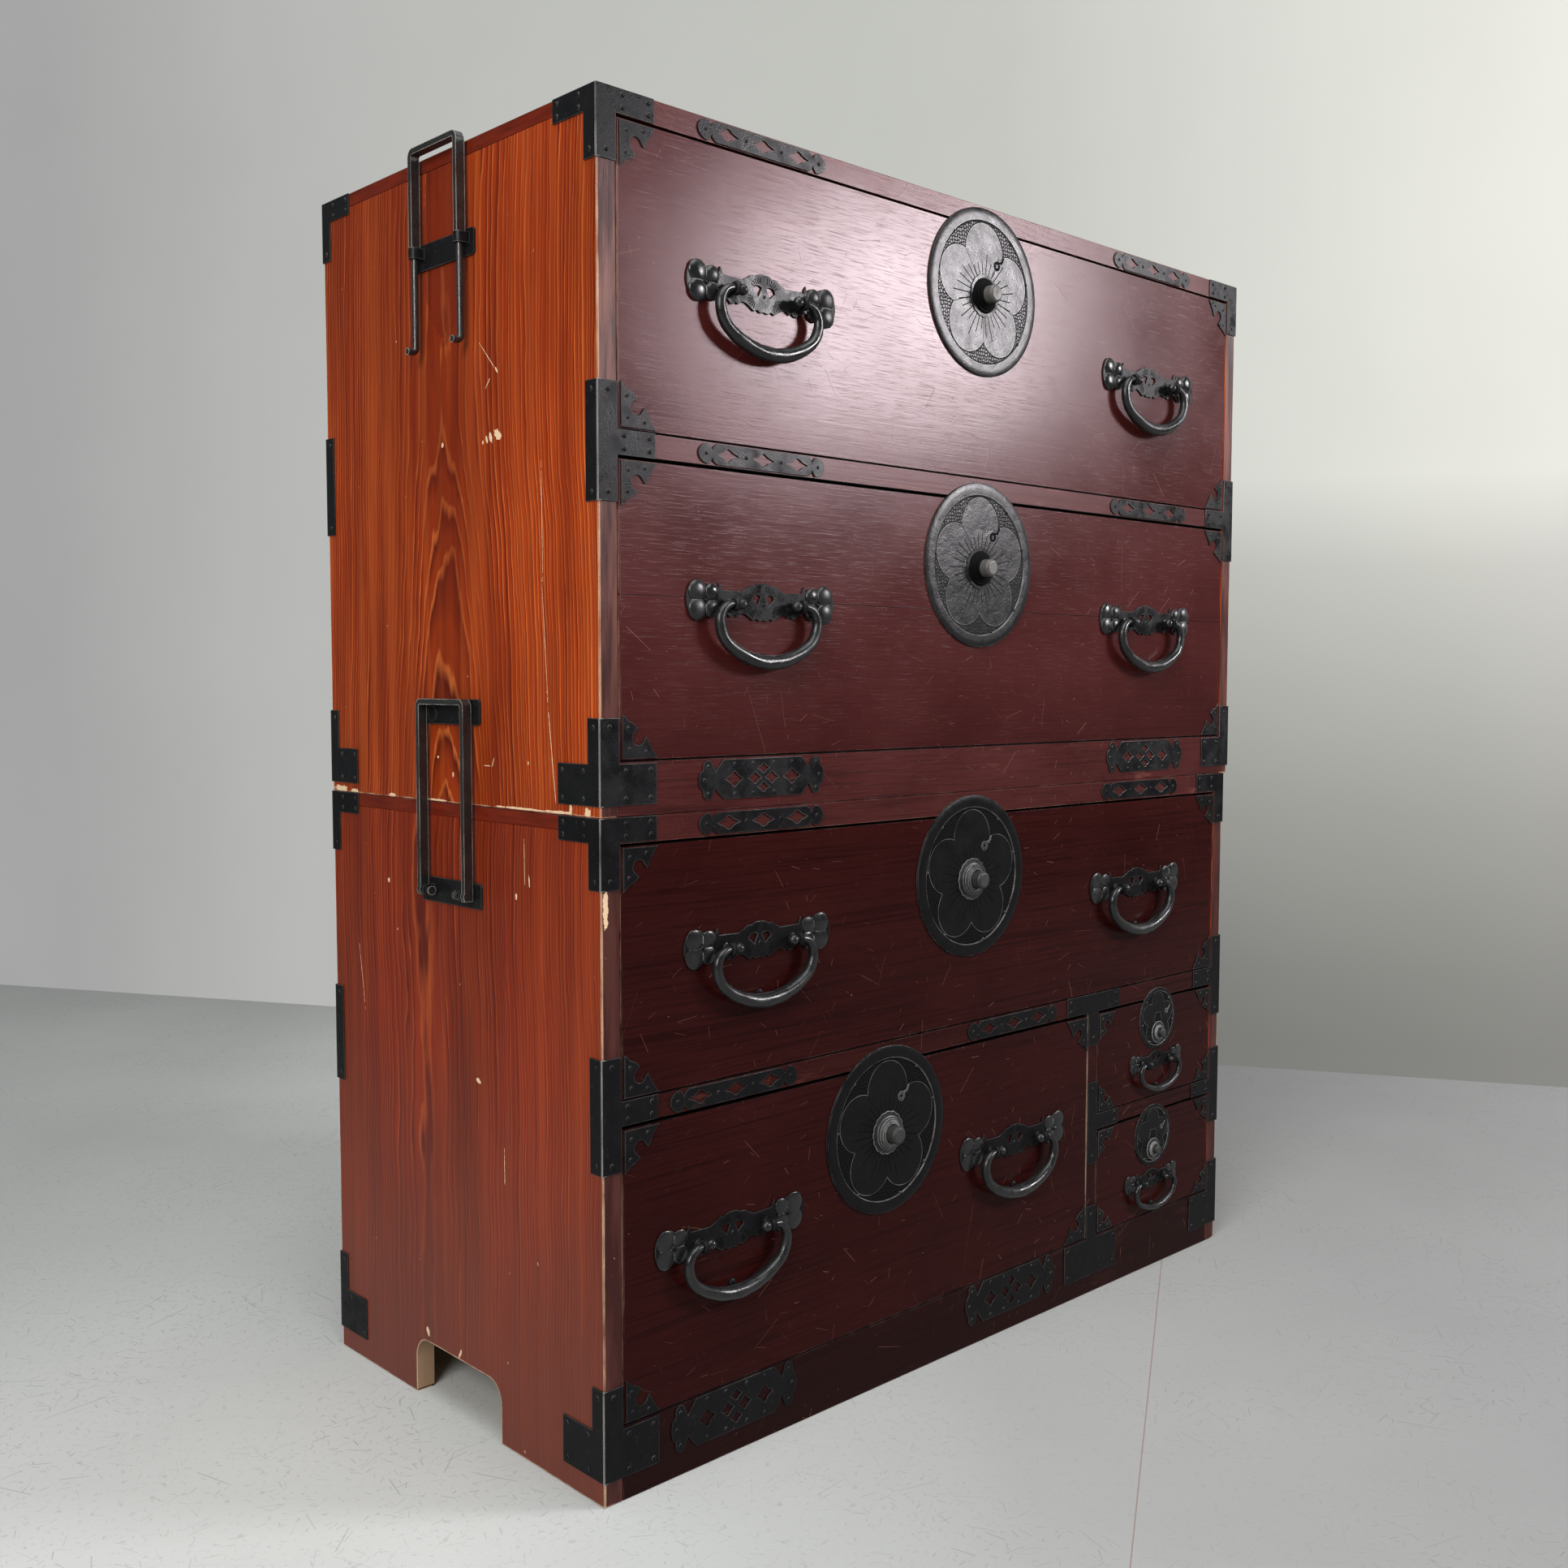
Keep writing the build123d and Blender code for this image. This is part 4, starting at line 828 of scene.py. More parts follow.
def chased_iron(name, shine, dark, ring_r, petal_at, petal_r, rays, ray_from, knob_drop, line):
    """The chasing is drawn from the place on the disc, in millimetres from its middle."""
    finish = Finish(name)
    across, up, _ = finish.axes(finish.node("Attribute", "Vector", {"attribute_name": "disc_spot"}))
    radius = finish.far(across, up)
    folded = finish.math("PINGPONG", finish.math("ARCTAN2", across, up), pi / 5)
    outside = finish.far(radius * finish.math("SINE", folded),
                         radius * finish.math("COSINE", folded) - petal_at) - petal_r
    in_ring = radius < ring_r - 1.0
    petal_line = in_ring * finish.band(outside, 0, line * 0.62)
    crease = finish.band(radius * finish.math("SINE", pi / 5 - folded), 0, line / 3)
    crease = crease * (outside < 0.0)
    ring_line = finish.band(radius, ring_r - 0.5, line / 2)

    knob_up = up + knob_drop
    from_knob = finish.far(across, knob_up)
    turn = finish.math("ARCTAN2", across, knob_up) * (rays / (2 * pi))
    chance = finish.node("TexWhiteNoise", "Value", {"noise_dimensions": "1D"},
                         W=finish.math("FLOOR", turn))
    off_ray = (finish.math("FRACT", turn) - 0.5) * from_knob
    ray_end = chance * (ray_from * 0.75) + ray_from * 1.45
    ray = finish.band(off_ray, 0, rays * line / 12) * (from_knob < ray_end)
    bead = 3.4 * line
    bead_edge = finish.node("TexVoronoi", "Distance",
                            {"feature": "DISTANCE_TO_EDGE", "voronoi_dimensions": "2D"},
                            Vector=finish.point(across / bead, up / bead, 0), Scale=1.0,
                            Randomness=0.7)
    roe_line = in_ring * (outside > line / 2) * (bead_edge < 0.17)

    patch = finish.blobs(0.016, 4.0, 0.6)
    pits = finish.blobs(0.0018, 3.0, 0.6)
    colour = finish.tint(finish.mix(patch, dark, tuple(2.2 * value for value in dark)), pits, 0.25)
    cut = finish.any(petal_line, ring_line, ray, roe_line, crease * 0.6)
    # Painted highlight: lit_edge lightens a line inside each petal outline and one beside the ring,
    # in the pale colour of the rubbed edges.
    lit_edge = ((in_ring * finish.band(outside, -line, line * 0.35))
                | finish.band(radius, ring_r + 0.6, line / 2))
    rubbed = ((finish.rubbed_edges(0.8 * mm, 0.03, 0.12) * 0.7)
              | (lit_edge * finish.ramp(patch, [(0.35, 0.04), (0.65, 0.30)])))
    colour = finish.mix(cut, finish.mix(rubbed, colour, rubbed_and_lit_chasing), chased_line)
    dome = finish.math("SMOOTH_MAX", outside * (-1 / petal_r), 0.0, 0.3)
    normal = finish.raise_by(dome * 0.20 - cut * 0.3, 0.8 * mm)
    normal = finish.raise_by(pits * 0.3 + patch, 0.50 * mm, Normal=normal)
    finish.surface(Base_Color=colour, Metallic=0.12, Normal=normal, Specular_IOR_Level=shine,
                   Roughness=cut * 0.5 + (patch * 0.30 + 0.17))
    return finish.material


large_ring_r, small_ring_r = 66.5, 30.0
large_knob_drop, small_knob_drop = 3.0, 16.0
upper_chased, lower_chased = [
    chased_iron(case + "_chased_iron", shine, dark=(0.0042, 0.0042, 0.0046),
                ring_r=large_ring_r, petal_at=38.0, petal_r=27.5, rays=30, ray_from=21.0,
                knob_drop=large_knob_drop, line=0.95)
    for case, shine in (("upper", 0.34), ("lower", 0.08))]
small_chased = chased_iron("small_chased_iron", 0.08, dark=(0.0050, 0.0050, 0.0055),
                           ring_r=small_ring_r, petal_at=17.5, petal_r=12.4, rays=22,
                           ray_from=11.0, knob_drop=small_knob_drop, line=0.65)
# Matt black for the upper collars and the chased strokes, and painted shade in the key holes.
black_hollow = Finish("black_hollow")
black_hollow.surface(Base_Color=(0.0025, 0.0025, 0.0025), Roughness=0.70, Specular_IOR_Level=0.06)
washer_iron = black_iron("washer_iron", dark=(0.013, 0.013, 0.014), bright=(0.36, 0.35, 0.34),
                         rough=0.24, gloss=0.35, bright_edge_from=0.006)


def disc_mesh(name, radius, ring_r, bore, knob_drop, dome, rim_t):
    """Rings of points from the knob's bore to the ring round the flower, the rim and the back."""
    spokes, fields = 120, 12
    spots = []
    for k in range(fields + 1):
        t = k / fields
        spots.append((bore + (ring_r - bore) * t, -knob_drop * (1 - t), dome + 0.5 * (1 - t * t)))
    spots += [(ring_r + 0.7, 0, rim_t), ((ring_r + radius) / 2, 0, rim_t + 0.1),
              (radius - 0.7, 0, rim_t - 0.1), (radius - 0.15, 0, rim_t - 0.35),
              (radius, 0, rim_t - 0.8), (radius, 0, 0), (bore, -knob_drop, 0)]
    vertices = [(ring * cos(2 * pi * k / spokes), ring * sin(2 * pi * k / spokes) + drop, height)
                for ring, drop, height in spots for k in range(spokes)]
    faces = []
    for row in range(len(spots)):
        following = (row + 1) % len(spots)
        for k in range(spokes):
            beside = (k + 1) % spokes
            faces.append((row * spokes + k, following * spokes + k, following * spokes + beside,
                          row * spokes + beside))
    mesh = bpy.data.meshes.new(name)
    mesh.from_pydata(vertices, [], faces)
    spot = mesh.attributes.new("disc_spot", "FLOAT_VECTOR", "POINT")
    spot.data.foreach_set("vector", [value for x, z, _ in vertices for value in (x, z, 0.0)])
    return mesh


def washer(share, bore, thickness, rounding):
    """An iron ring with a scalloped edge, round a bore."""
    turns = [pi * k / 64 for k in range(128)]
    edge = [(19.6 + 0.9 * abs(cos(8 * turn)), turn) for turn in turns]
    return cut_plate([(share * r * cos(turn), share * r * sin(turn)) for r, turn in edge],
                     [bore], thickness, rounding)


# The two sizes of lock, in millimetres. A collar goes up its bore, over its steps and down again,
# and key is the place of the key hole on the disc.
Lock = namedtuple("Lock", "disc washer collar nails nail_foot nail_r knob_drop key key_share")
large_lock = Lock(
    disc=disc_mesh("large_disc", radius=78.5, ring_r=large_ring_r, bore=9.0,
                   knob_drop=large_knob_drop, dome=1.2, rim_t=2.1),
    washer=washer(1.0, circle(0, 0, 15.5, 40), 1.1, 0.3),
    collar=[(9.0, -1.0), (9.0, 6.6), (9.6, 7.2), (10.6, 7.1), (11.2, 6.0), (11.4, 5.2),
            (12.4, 5.2), (13.2, 4.6), (13.6, 3.4), (14.8, 3.4), (16.0, 2.8), (16.6, 1.6),
            (16.7, 0.0)],
    nails=[(-44, 50), (40, 53), (64, 18), (52, -41), (18, -64), (-39, -54), (-65, 8)],
    nail_foot=1.3, nail_r=1.7, knob_drop=large_knob_drop, key=(19, 28, 1.55), key_share=1.0)
small_lock = Lock(
    disc=disc_mesh("small_disc", radius=34.5, ring_r=small_ring_r, bore=5.4,
                   knob_drop=small_knob_drop, dome=1.0, rim_t=1.65),
    washer=washer(0.6, circle(0, 0, 7.5, 32), 0.8, 0.2),
    collar=[(5.3, -1.0), (5.3, 3.0), (6.0, 3.5), (7.0, 3.2), (7.3, 2.2), (8.3, 2.0),
            (8.7, 1.0), (8.7, 0.0)],
    nails=[(-22, 20), (22, 20), (29.5, -5), (-29.5, -5), (16, -25), (-16, -25)],
    nail_foot=1.0, nail_r=1.2, knob_drop=small_knob_drop, key=(17, 6, 1.3), key_share=0.6)
key_slot = [(2.4, 2.4, 0), (5.0, 2.8), (7.4, 2.6), (9.8, 6.4), (10.6, 9.4, 0), (8.8, 9.2, 0),
            (7.6, 6.6), (6.0, 4.8), (2.0, 4.2, 0)]


def key_hole_shade(work, place, share):
    """Dark sheets on the disc as painted shade: the ring-shaped hole round the pin that the key
    fits over, and the slot for its bit.
    """
    ring = circle(0, 0, 4.6 * share, 24)
    work.fix(cut_plate(ring, [circle(0, 0, 2.1 * share, 16)], 0.3, 0.05), place)
    slot = outline([(x * share, z * share, *rest) for x, z, *rest in key_slot])
    work.fix(cut_plate(slot, [], 0.3, 0.05), place)


for name in drawers:
    large = not name.startswith("small")
    lock = large_lock if large else small_lock
    knob_low, knob_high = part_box(name + "_knob")
    knob_x = (knob_low[0] + knob_high[0]) / 2
    knob_z = (knob_low[2] + knob_high[2]) / 2
    place = on_front(knob_x, knob_z + lock.knob_drop * mm, 0.02 * mm)
    disc = bpy.data.objects.new(name + "_lock_disc", lock.disc.copy())
    disc.data.transform(place)
    disc.data.flip_normals()
    disc.data.shade_smooth()
    disc.data.set_sharp_from_angle(angle=radians(40))
    large_chased = upper_chased if name in upper_drawers else lower_chased
    disc.data.materials.append(large_chased if large else small_chased)
    bpy.context.scene.collection.objects.link(disc)
    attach(disc, name)

    seat = on_front(knob_x, knob_z, 1.5 * mm)
    black = Ironwork(name + "_collar")
    black.turned(lock.collar, seat, 40)
    key_hole_shade(black, place @ shift(*lock.key), lock.key_share)
    black.make(black_hollow.material if name in upper_drawers else washer_iron, name)

    bright = Ironwork(name + "_washer")
    bright.fix(lock.washer, seat)
    bright.nails(place, lock.nails, lock.nail_foot, lock.nail_r)
    bright.make(case_iron["upper"] if name in upper_drawers else washer_iron, name)

# ---------------------------------------------------------------- knobs and bolts
# Turned iron push knobs, whose faces are polished pale by the thumb, and the bolts behind them.
knob_edge = (0.42, 0.40, 0.37)
# Painted light: the upper knobs are a lighter iron than the lower ones, as lit by the window.
polished_window_lit_knob = black_iron("polished_knob_iron", (0.055, 0.052, 0.048), knob_edge, 0.30)
dark_knob = black_iron("dark_knob_iron", (0.017, 0.017, 0.017), knob_edge, 0.30)
dress(polished_window_lit_knob, *[name + "_knob" for name in upper_drawers])
dress(dark_knob, *[name + "_knob" for name in lower_drawers])
dress(case_iron["lower"], *[name + "_bolt" for name in drawers])

# ---------------------------------------------------------------- drawer pulls
# Cut and chased iron plates with domed ends, two eyes on stems, and a forged drop bail whose bar
# swells to its middle. A nail keeps the bail off the lacquer.


def mirrored(right):
    """A whole outline from its right half, which starts and ends on x = 0."""
    return right + [(-x, y, *rest) for x, y, *rest in right[-2:0:-1]]


pull_line = mirrored([
    (0, 16.2), (5.5, 15.8), (9.5, 13.8, 0), (14, 13.9), (18, 11.4, 0), (21, 10.2), (24, 8.6, 0),
    (36, 8.8), (46, 9.0, 0), (46.6, 12.0), (48.4, 15.0, 0), (49.4, 11.4), (51, 9.2, 0),
    (54, 12.0), (58, 13.4), (62.6, 12.4, 0), (67, 15.2), (73, 15.8), (79, 12.6), (82.6, 7.6),
    (84, 0.5), (82.4, -7.2), (78.4, -12.6), (72, -15.6), (66.5, -14.8), (62.6, -12.2, 0),
    (57.5, -13.6), (53, -11.4), (50.5, -7.8, 0), (45, -8.6), (40, -10.6), (37.4, -13.4, 0),
    (34, -12.8), (31.5, -10.8, 0), (29, -12.4), (25.4, -9.8, 0), (21, -10.0), (16, -12.6),
    (11.4, -15.4, 0), (7.6, -13.8), (4.4, -15.6), (0, -14.6, 0)])
leaf = [(2.6, 5.2, 0), (6.4, 6.4), (10.8, 5.6), (12.6, 2.4, 0), (9.4, 0.2), (6.4, -2.6, 0),
        (4.6, 1.6)]
small_share_x, small_share_z = 0.607, 0.66


def pull_plate(share_x, share_z, thickness):
    """The plate of a pull, pierced with a leaf on each side of its middle."""
    line, *leaves = [[(x * side * share_x, z * share_z, *rest) for x, z, *rest in points]
                     for points, side in ((pull_line, 1), (leaf, -1), (leaf, 1))]
    return cut_plate(outline(line), [outline(points) for points in leaves], thickness, 0.4)


def arc_points(centre_x, centre_z, radius, start, end, steps):
    turns = [radians(start + (end - start) * k / steps) for k in range(1, steps + 1)]
    return [(centre_x + radius * cos(turn), centre_z + radius * sin(turn)) for turn in turns]


def bail_path(half_w, drop, bend, corner, tip_x):
    """Half of a bail's centre line, from its tip to its lowest point."""
    height = drop - bend
    spread = half_w - corner
    bow = (spread**2 + height**2 - corner**2) / (2 * (height - corner))
    turn = atan2(bow - height, spread) * 180 / pi
    line = [(-tip_x, 0.0), (bend - half_w, 0.0)]
    line += arc_points(bend - half_w, -bend, bend, 90, 180, 8)
    line += arc_points(-spread, -bend, corner, 180, 180 + turn, 8)
    line += arc_points(0, bow - drop, bow, 180 + turn, 270, 10)
    return line


def forged_bar(work, line, radii, place, sides=14, hammer=0.0):
    """A round bar along a line in the plane z = 0, with hammer marks."""
    rings = []
    for k, (x, y) in enumerate(line):
        ahead = line[min(k + 1, len(line) - 1)]
        behind = line[max(k - 1, 0)]
        run = Vector((ahead[0] - behind[0], ahead[1] - behind[1], 0)).normalized()
        side = Vector((run.y, -run.x, 0))
        ring = []
        for s in range(sides):
            turn = 2 * pi * s / sides
            dent = 1 + hammer * noise.noise(Vector((x * 0.12, y * 0.12, s * 1.7)))
            offset = radii[k] * dent * (cos(turn) * side + sin(turn) * Vector((0, 0, 1)))
            ring.append(work.pieces.verts.new(place @ (Vector((x, y, 0)) + offset)))
        rings.append(ring)
    for first, second in zip(rings, rings[1:]):
        for s in range(sides):
            work.pieces.faces.new((first[s - 1], second[s - 1], second[s], first[s]))
    work.pieces.faces.new(rings[0])
    work.pieces.faces.new(rings[-1][::-1])


play = 0.3
eye_bar = 1.9
post_r = 2.25
corner_t = 1.3
small_corner_share = 0.8

# The two sizes of pull, in millimetres. stem gives the radii of the collar at a post's foot, and
# bend and corner are the radii of the bail's turns.
Pull = namedtuple("Pull", "plate plate_t share pivot_drop reach post_x stem half_w drop bend "
                          "corner neck bar tip")
large_pull = Pull(
    plate=pull_plate(1.0, 1.0, 1.6), plate_t=1.6, share=1.0, pivot_drop=2.5, reach=10.0,
    post_x=38.5, stem=(3.4, 4.6), half_w=55.5, drop=48.0, bend=14.0, corner=24.0, neck=3.0,
    bar=6.5, tip=4.6)
small_pull = Pull(
    plate=pull_plate(small_share_x, small_share_z, 1.4), plate_t=1.4, share=small_share_x,
    pivot_drop=1.5, reach=7.5, post_x=26.0, stem=(2.6, 3.4), half_w=37.5, drop=29.5, bend=9.0,
    corner=14.0, neck=2.0, bar=3.6, tip=3.2)
# Domed lobes of a pull: the place of the middle, and the radius.
lobes = [(57.2, 6.6, 7.6), (57.2, -6.6, 7.6), (72.6, 7.2, 9.4), (72.6, -7.2, 9.4)]
# Chased fans: where their strokes meet, the radii at which they start and end, and their angles.
fans = [(3.0, 0.5, 8.2, 13.4, (4, 15, 26, 37, 48, 60)),
        (9.5, -4.5, 3.0, 8.6, (78, 95, 112, 129, 146, 163)),
        (32.5, -5.0, 1.6, 6.6, (110, 135, 160, 185, 210)),
        (48.0, 0.0, 2.5, 6.5, (60, 80, 100, 120))]


def fix_pull(work, domes, chasing, size, x, pivot_z, dome):
    """The plate, the two eyes and the striker nail of a pull. dome is the height of its lobes."""
    place = on_front(x, pivot_z + size.pivot_drop * mm)
    k, base = size.share, size.plate_t
    work.fix(size.plate, place)
    eye_r = size.neck + play + 1.0
    top = size.reach - eye_r
    axis = on_front(x, pivot_z, size.reach * mm) @ Matrix.Rotation(pi / 2, 4, "Y")
    ring = circle(0, 0, eye_r, 18)
    for side in (-1, 1):
        for lobe_x, lobe_z, lobe_r in lobes:
            domes.turned([(lobe_r * k * sin(radians(turn)), dome * k * cos(radians(turn)))
                          for turn in (0, 20, 40, 60, 78, 90)],
                         place @ shift(side * lobe_x * k, lobe_z * k, base - 0.2), 24)
        work.nails(place, [(side * 64 * k, 0)], base, 2.0 * k)
        eye = axis @ shift(0, 0, side * size.post_x) @ Matrix.Diagonal((1, 1, 1.15, 1))
        forged_bar(work, [*ring, ring[0]], [eye_bar] * 19, eye, 10)
        stem = on_front(x + side * size.post_x * mm, pivot_z)
        work.turned([(2.0, top), (2.3, (top + base) / 2), (size.stem[0], base + 0.4),
                     (size.stem[1], base)], stem, 14)
    work.nails(place, [(0, -2.0 * k)], base, 1.5 * k)
    face = place @ shift(0, 0, base - 0.05) @ Matrix.Scale(k, 4)
    for side in (-1, 1):
        for fan_x, fan_z, near, far, turns in fans:
            line = [(-0.28, near), (0.28, near), (0.40, far), (-0.40, far)]
            stroke = cut_plate(line, [], 0.2, 0.05)
            for turn in turns:
                swing = Matrix.Rotation(radians(-side * turn), 4, "Z")
                chasing.fix(stroke, face @ (shift(side * fan_x, fan_z, 0) @ swing))
    striker = on_front(x, pivot_z - (size.drop - size.bar + 1.5) * mm)
    head = size.reach - size.bar - play
    work.turned([(0, head), (1.6, head - 0.3), (3.0, head - 1.2), (3.4, 0)], striker, 12)


def make_bail(name, size, x, pivot_z):
    """A bail whose bar swells towards its middle, with a ball on each tip."""
    work = Ironwork(name + "_forged")
    tip_x = size.post_x - post_r - play - size.tip
    half_line = bail_path(size.half_w, size.drop, size.bend, size.corner, tip_x)
    lengths = [0.0]
    for (x0, z0), (x1, z1) in zip(half_line, half_line[1:]):
        lengths.append(lengths[-1] + hypot(x1 - x0, z1 - z0))
    radii = []
    for length in lengths:
        swell = max(0.0, (length - lengths[1]) / (lengths[-1] - lengths[1])) ** 0.65
        radii.append(size.neck + (size.bar - size.neck) * swell)
    turns = [radians(turn) for turn in (8, 30, 55, 80, 105, 130)]
    line = [(-tip_x + size.tip * cos(turn), 0.0) for turn in turns] + half_line[1:]
    radii = [size.tip * sin(turn) for turn in turns] + radii[1:]
    line += [(-px, pz) for px, pz in line[-2::-1]]
    radii += radii[-2::-1]
    forged_bar(work, line, radii, on_front(x, pivot_z, size.reach * mm), 16, 0.10)
    bail = work.make(bail_finish, name, smooth=60)
    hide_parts(name)


# A thin plate on each corner of a drawer front: straight along the edges, cusped on the inside,
# with a round bite that looks like a wave's crest.
corner_line = [(0, 0, 0), (35, 0, 0), (32.8, -2.6), (29.8, -7.0, 0), (27.8, -9.6), (25.0, -15.2),
               (23.8, -16.7, 0), (21.9, -15.2), (19.4, -11.6), (15.4, -10.2), (11.2, -12.0),
               (9.6, -15.9), (10.6, -19.1), (15.7, -23.8, 0), (11.0, -27.6), (5.6, -29.9, 0),
               (3.2, -32.6), (0, -35, 0)]
corner_nails = [(6.5, -7.5), (23, -5.0), (5.5, -24)]
corner_inset = 1.6 * mm
bail_finish = black_iron("bail_iron", (0.008, 0.0082, 0.0086), (0.34, 0.33, 0.31), 0.12)

swings = {joint["child"]: joint for joint in frame["joints"]
          if joint["name"].endswith("bail_swing")}
for name in drawers:
    size, share = large_pull, 1.0
    if name.startswith("small"):
        size, share = small_pull, small_corner_share
    work, domes = Ironwork(name + "_ironwork"), Ironwork(name + "_pull_domes")
    chasing = Ironwork(name + "_pull_chasing")
    for bail_name, joint in swings.items():
        if joint["parent"] == name:
            bail_x, _, pivot_z = joint["pos_m"]
            dome = 3.4 if name in upper_drawers else 1.4
            fix_pull(work, domes, chasing, size, bail_x, pivot_z, dome)
            make_bail(bail_name, size, bail_x, pivot_z)
    low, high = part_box(name + "_front")
    plate = cut_plate(outline([(x * share, z * share, *rest) for x, z, *rest in corner_line]),
                      [], corner_t, 0.3)
    spots = [(x * share, z * share) for x, z in corner_nails]
    for corner_x, flip_x in ((low[0] + corner_inset, 1), (high[0] - corner_inset, -1)):
        for corner_z, flip_z in ((high[2] - corner_inset, 1), (low[2] + corner_inset, -1)):
            place = on_front(corner_x, corner_z) @ flip(flip_x, flip_z)
            work.fix(plate, place)
            work.nails(place, spots, corner_t, 1.6)
    ironwork = work.make(drawer_iron[name], name)
    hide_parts(name + "_irons")
    domes.make(bail_finish, name, smooth=60)
    chasing.make(black_hollow.material, name)

# ---------------------------------------------------------------- handles on the sides
# A carrying pole goes through the upper handles, which slide up in sleeves. The lower ones stand
# on the lower case and reach over the seam. All are flat bar, forged and bent.
handle_finish = black_iron("handle_iron", dark=(0.011, 0.0106, 0.0102), bright=(0.46, 0.43, 0.39),
                           rough=0.14, gloss=0.75)
handles = ["left_pole_handle", "right_pole_handle", "left_joining_handle", "right_joining_handle"]
dress(handle_finish, *handles)
for name in handles:
    forged = frame["nodes"][name].modifiers.new("forged_edges", "BEVEL")
    forged.width = 0.7 * mm
    forged.segments = 2
    forged.limit_method = "ANGLE"
    forged.angle_limit = radians(45)
dress(case_iron["upper"], "upper_handle_plates", "lower_handle_plates")

# ---------------------------------------------------------------- room
# A pale painted floor, scuffed and crossed by a joint, and a plain wall that is lit unevenly. The
# floor's paint carries a painted fall of light, lighter to the left and darker to the right. The
# wall only shows to the eye and in reflections, so the chest is lit by the lamps.
floor = Finish("painted_floor")
x, y, _ = floor.place()
cloud = floor.blobs(0.5, 4.0)
specks = floor.rise(floor.blobs(0.007, 4.0), 0.60, 0.70)
scuffs = floor.any(floor.scratches(x, y, 0.05, 0.03, 1.1 * mm, 1.7),
                   floor.scratches(x, y, 0.023, 0.011, 1.0 * mm, 9.2),
                   floor.scratches(x, y, 0.011, 0.006, 0.9 * mm, 5.6))
scuffs = scuffs * floor.ramp(floor.blobs(0.22, 4.0), [(0.40, 0.15), (0.62, 1.0)])
floor_joint = floor.spot(x, y, (0.05, -0.38), (1.2 * mm, 0.5), 1.66, 0.3)
# Painted light: the floor is lighter to the left and darker to the right.
paint = floor.ramp((x - y) * 0.33 + 0.5, [(0.0, (0.42, 0.43, 0.42)), (0.18, (0.52, 0.53, 0.52)),
                                          (0.36, (0.51, 0.52, 0.51)), (0.58, (0.335, 0.34, 0.33)),
                                          (0.80, (0.28, 0.285, 0.28))])
paint = floor.tint(paint, cloud, 0.12)
paint = floor.mix(scuffs * 0.55, paint, (0.14, 0.145, 0.14))
paint = floor.mix(specks * 0.35, paint, (0.24, 0.25, 0.24))
paint = floor.mix(floor_joint * 0.6, paint, (0.22, 0.11, 0.10))
floor.surface(Base_Color=paint, Roughness=0.6, Specular_IOR_Level=0.0)

wall = Finish("painted_wall")
x, _, z = wall.place()
tone = wall.ramp(x / 1.5, [(0.0, (0.37, 0.375, 0.37)), (0.17, (0.47, 0.475, 0.46)),
                           (0.67, (0.64, 0.65, 0.605)), (0.88, (0.87, 0.875, 0.81)),
                           (0.97, (0.96, 0.95, 0.89))])
low = wall.ramp(z, [(0.05, 0.26), (0.17, 0.29), (0.44, 0.41), (0.85, 0.67), (1.0, 0.88)])
low = wall.mix(wall.rise(x, 0.30, 1.0), (1, 1, 1), low)
tone = wall.tint(wall.mix(low, (0, 0, 0), tone), wall.blobs(0.5, 3.0), 0.06)
seen = wall.any(*wall.node("LightPath", ("Is Camera Ray", "Is Glossy Ray", "Is Transmission Ray")))
wall.surface(Base_Color=(0, 0, 0), Roughness=1.0, Emission_Color=tone, Emission_Strength=seen,
             Specular_IOR_Level=0.0)


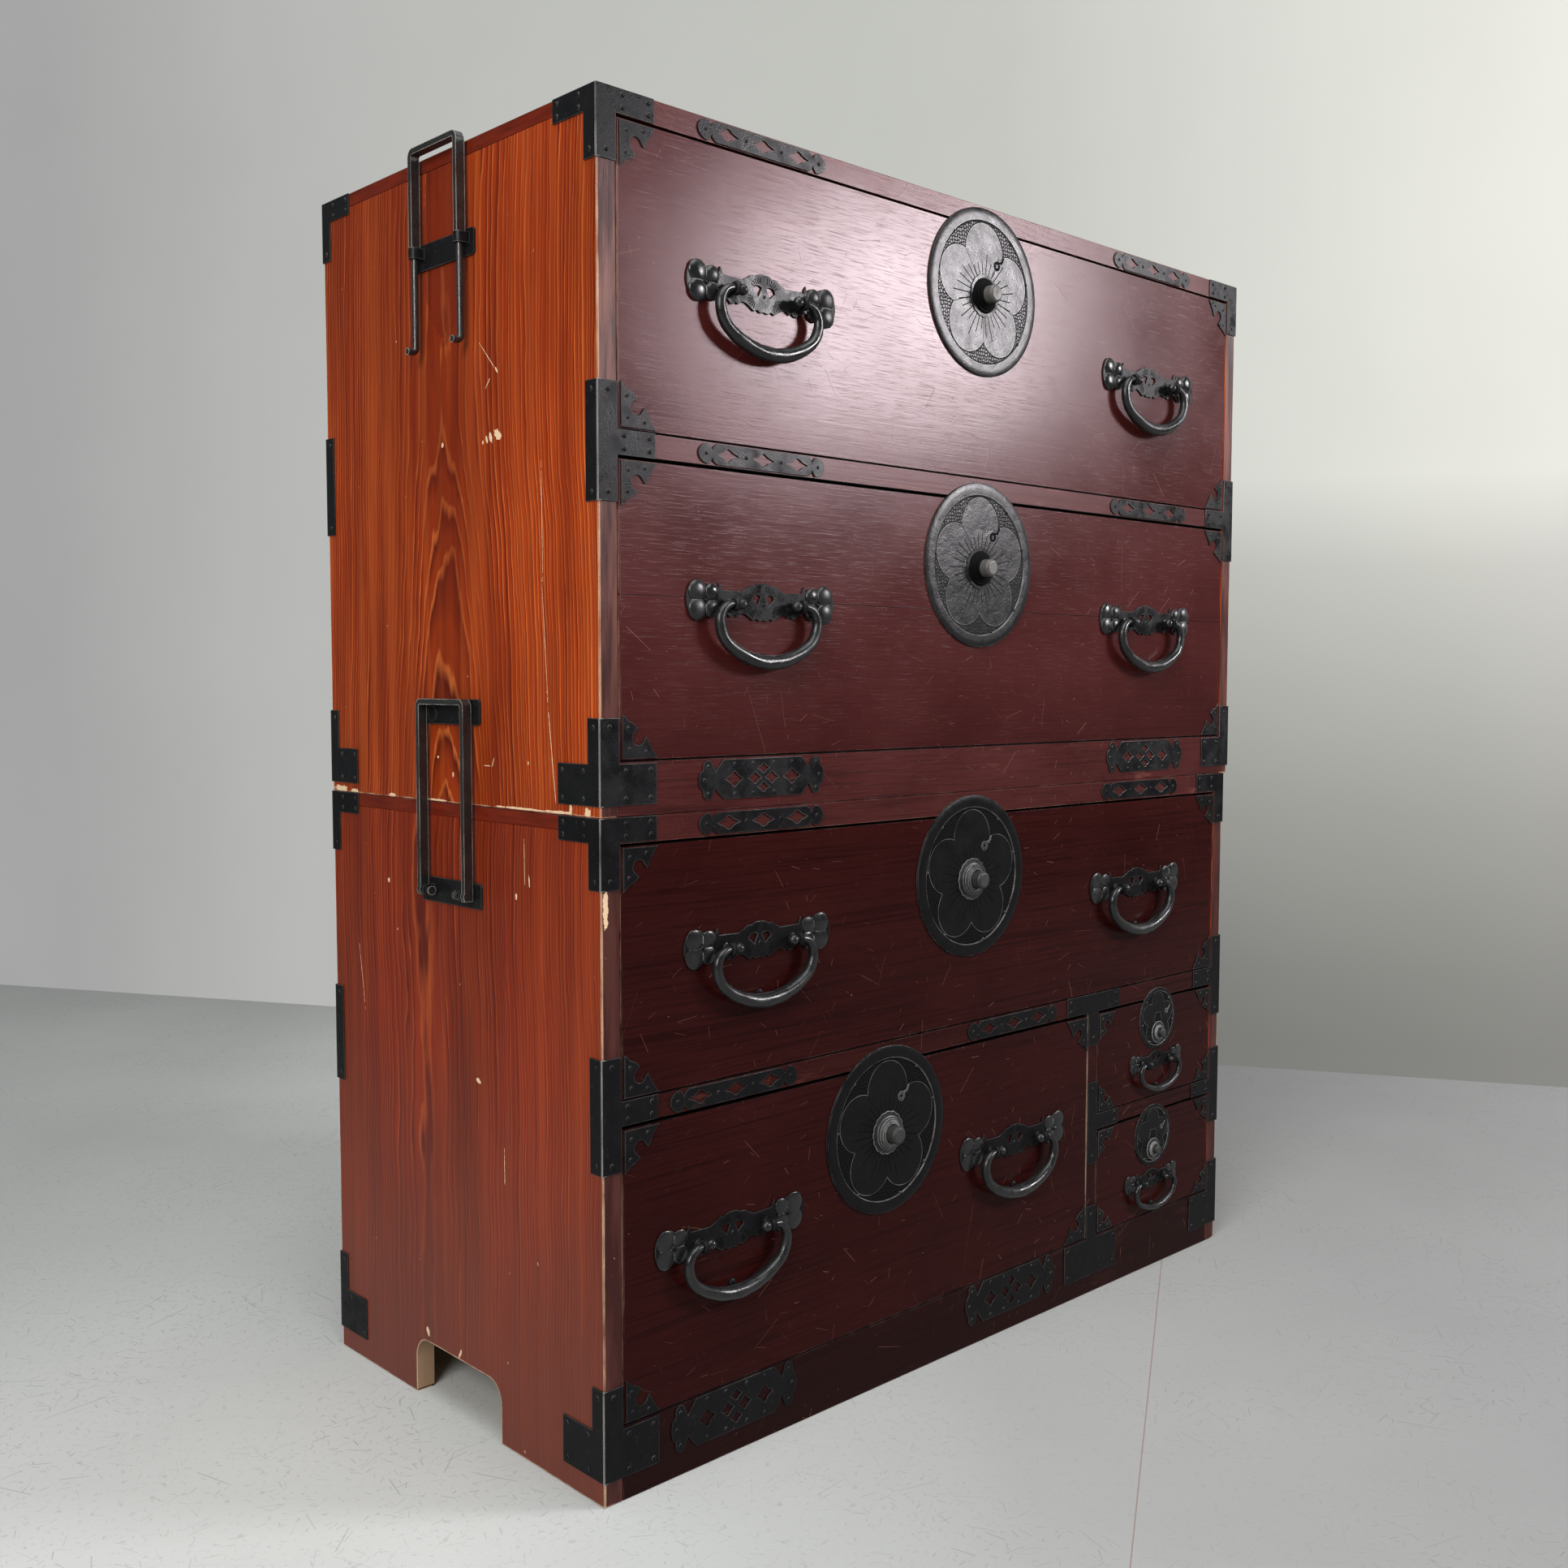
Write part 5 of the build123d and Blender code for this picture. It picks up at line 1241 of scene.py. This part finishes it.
def flat_panel(name, corners, finish):
    mesh = bpy.data.meshes.new(name)
    mesh.from_pydata(corners, [], [(0, 1, 2, 3)])
    mesh.materials.append(finish.material)
    panel = bpy.data.objects.new(name, mesh)
    bpy.context.scene.collection.objects.link(panel)


flat_panel("floor", [(-6, -6, 0), (6, -6, 0), (6, 6, 0), (-6, 6, 0)], floor)
flat_panel("wall", [(-1.00, 3.96, 0), (1.66, -0.54, 0), (1.66, -0.54, 4), (-1.00, 3.96, 4)], wall)

world = bpy.data.worlds.new("room_light")
world.use_nodes = True
room_light = world.node_tree.nodes["Background"].inputs
room_light["Color"].default_value = (0.90, 0.96, 1.0, 1)
room_light["Strength"].default_value = 0.13
bpy.context.scene.world = world


def soft_light(name, position, target, size, power, colour):
    lamp = bpy.data.lights.new(name, "AREA")
    lamp.shape = "RECTANGLE"
    lamp.size, lamp.size_y = size
    lamp.energy = power
    lamp.color = colour
    light = bpy.data.objects.new(name, lamp)
    light.location = position
    light.rotation_euler = (Vector(target) - Vector(position)).to_track_quat("-Z", "Y").to_euler()
    bpy.context.scene.collection.objects.link(light)


soft_light("window_light", position=(2.42, -2.6, 1.80), target=(-0.1, -0.2, 0.85),
           size=(0.90, 0.74), power=98, colour=(1.0, 0.95, 0.98))
soft_light("ceiling_light", position=(-0.6, -1.0, 3.6), target=(0, -0.2, 0.4),
           size=(3.0, 3.0), power=120, colour=(0.98, 1.0, 1.0))
soft_light("left_light", position=(-3.3, -1.5, 2.2), target=(-0.454, 0, 0.6),
           size=(1.8, 1.8), power=105, colour=(1.0, 0.98, 0.95))

camera_data = bpy.data.cameras.new("camera")
camera_data.sensor_width = 36.0
camera_data.lens = 36.216
camera = bpy.data.objects.new("camera", camera_data)
camera_right = Vector((0.72587468, -0.68782585, 0.00124773))
camera_up = Vector((0.04464497, 0.04892466, 0.99780419))
camera_back = -Vector((0.68637656, 0.72422509, -0.06622114))
turn = Matrix((camera_right, camera_up, camera_back)).transposed().to_4x4()
camera.matrix_world = Matrix.Translation((left - 0.73477, front - 0.98195, 0.66131)) @ turn
bpy.context.scene.collection.objects.link(camera)
bpy.context.scene.camera = camera
bpy.context.scene.view_settings.view_transform = "Standard"
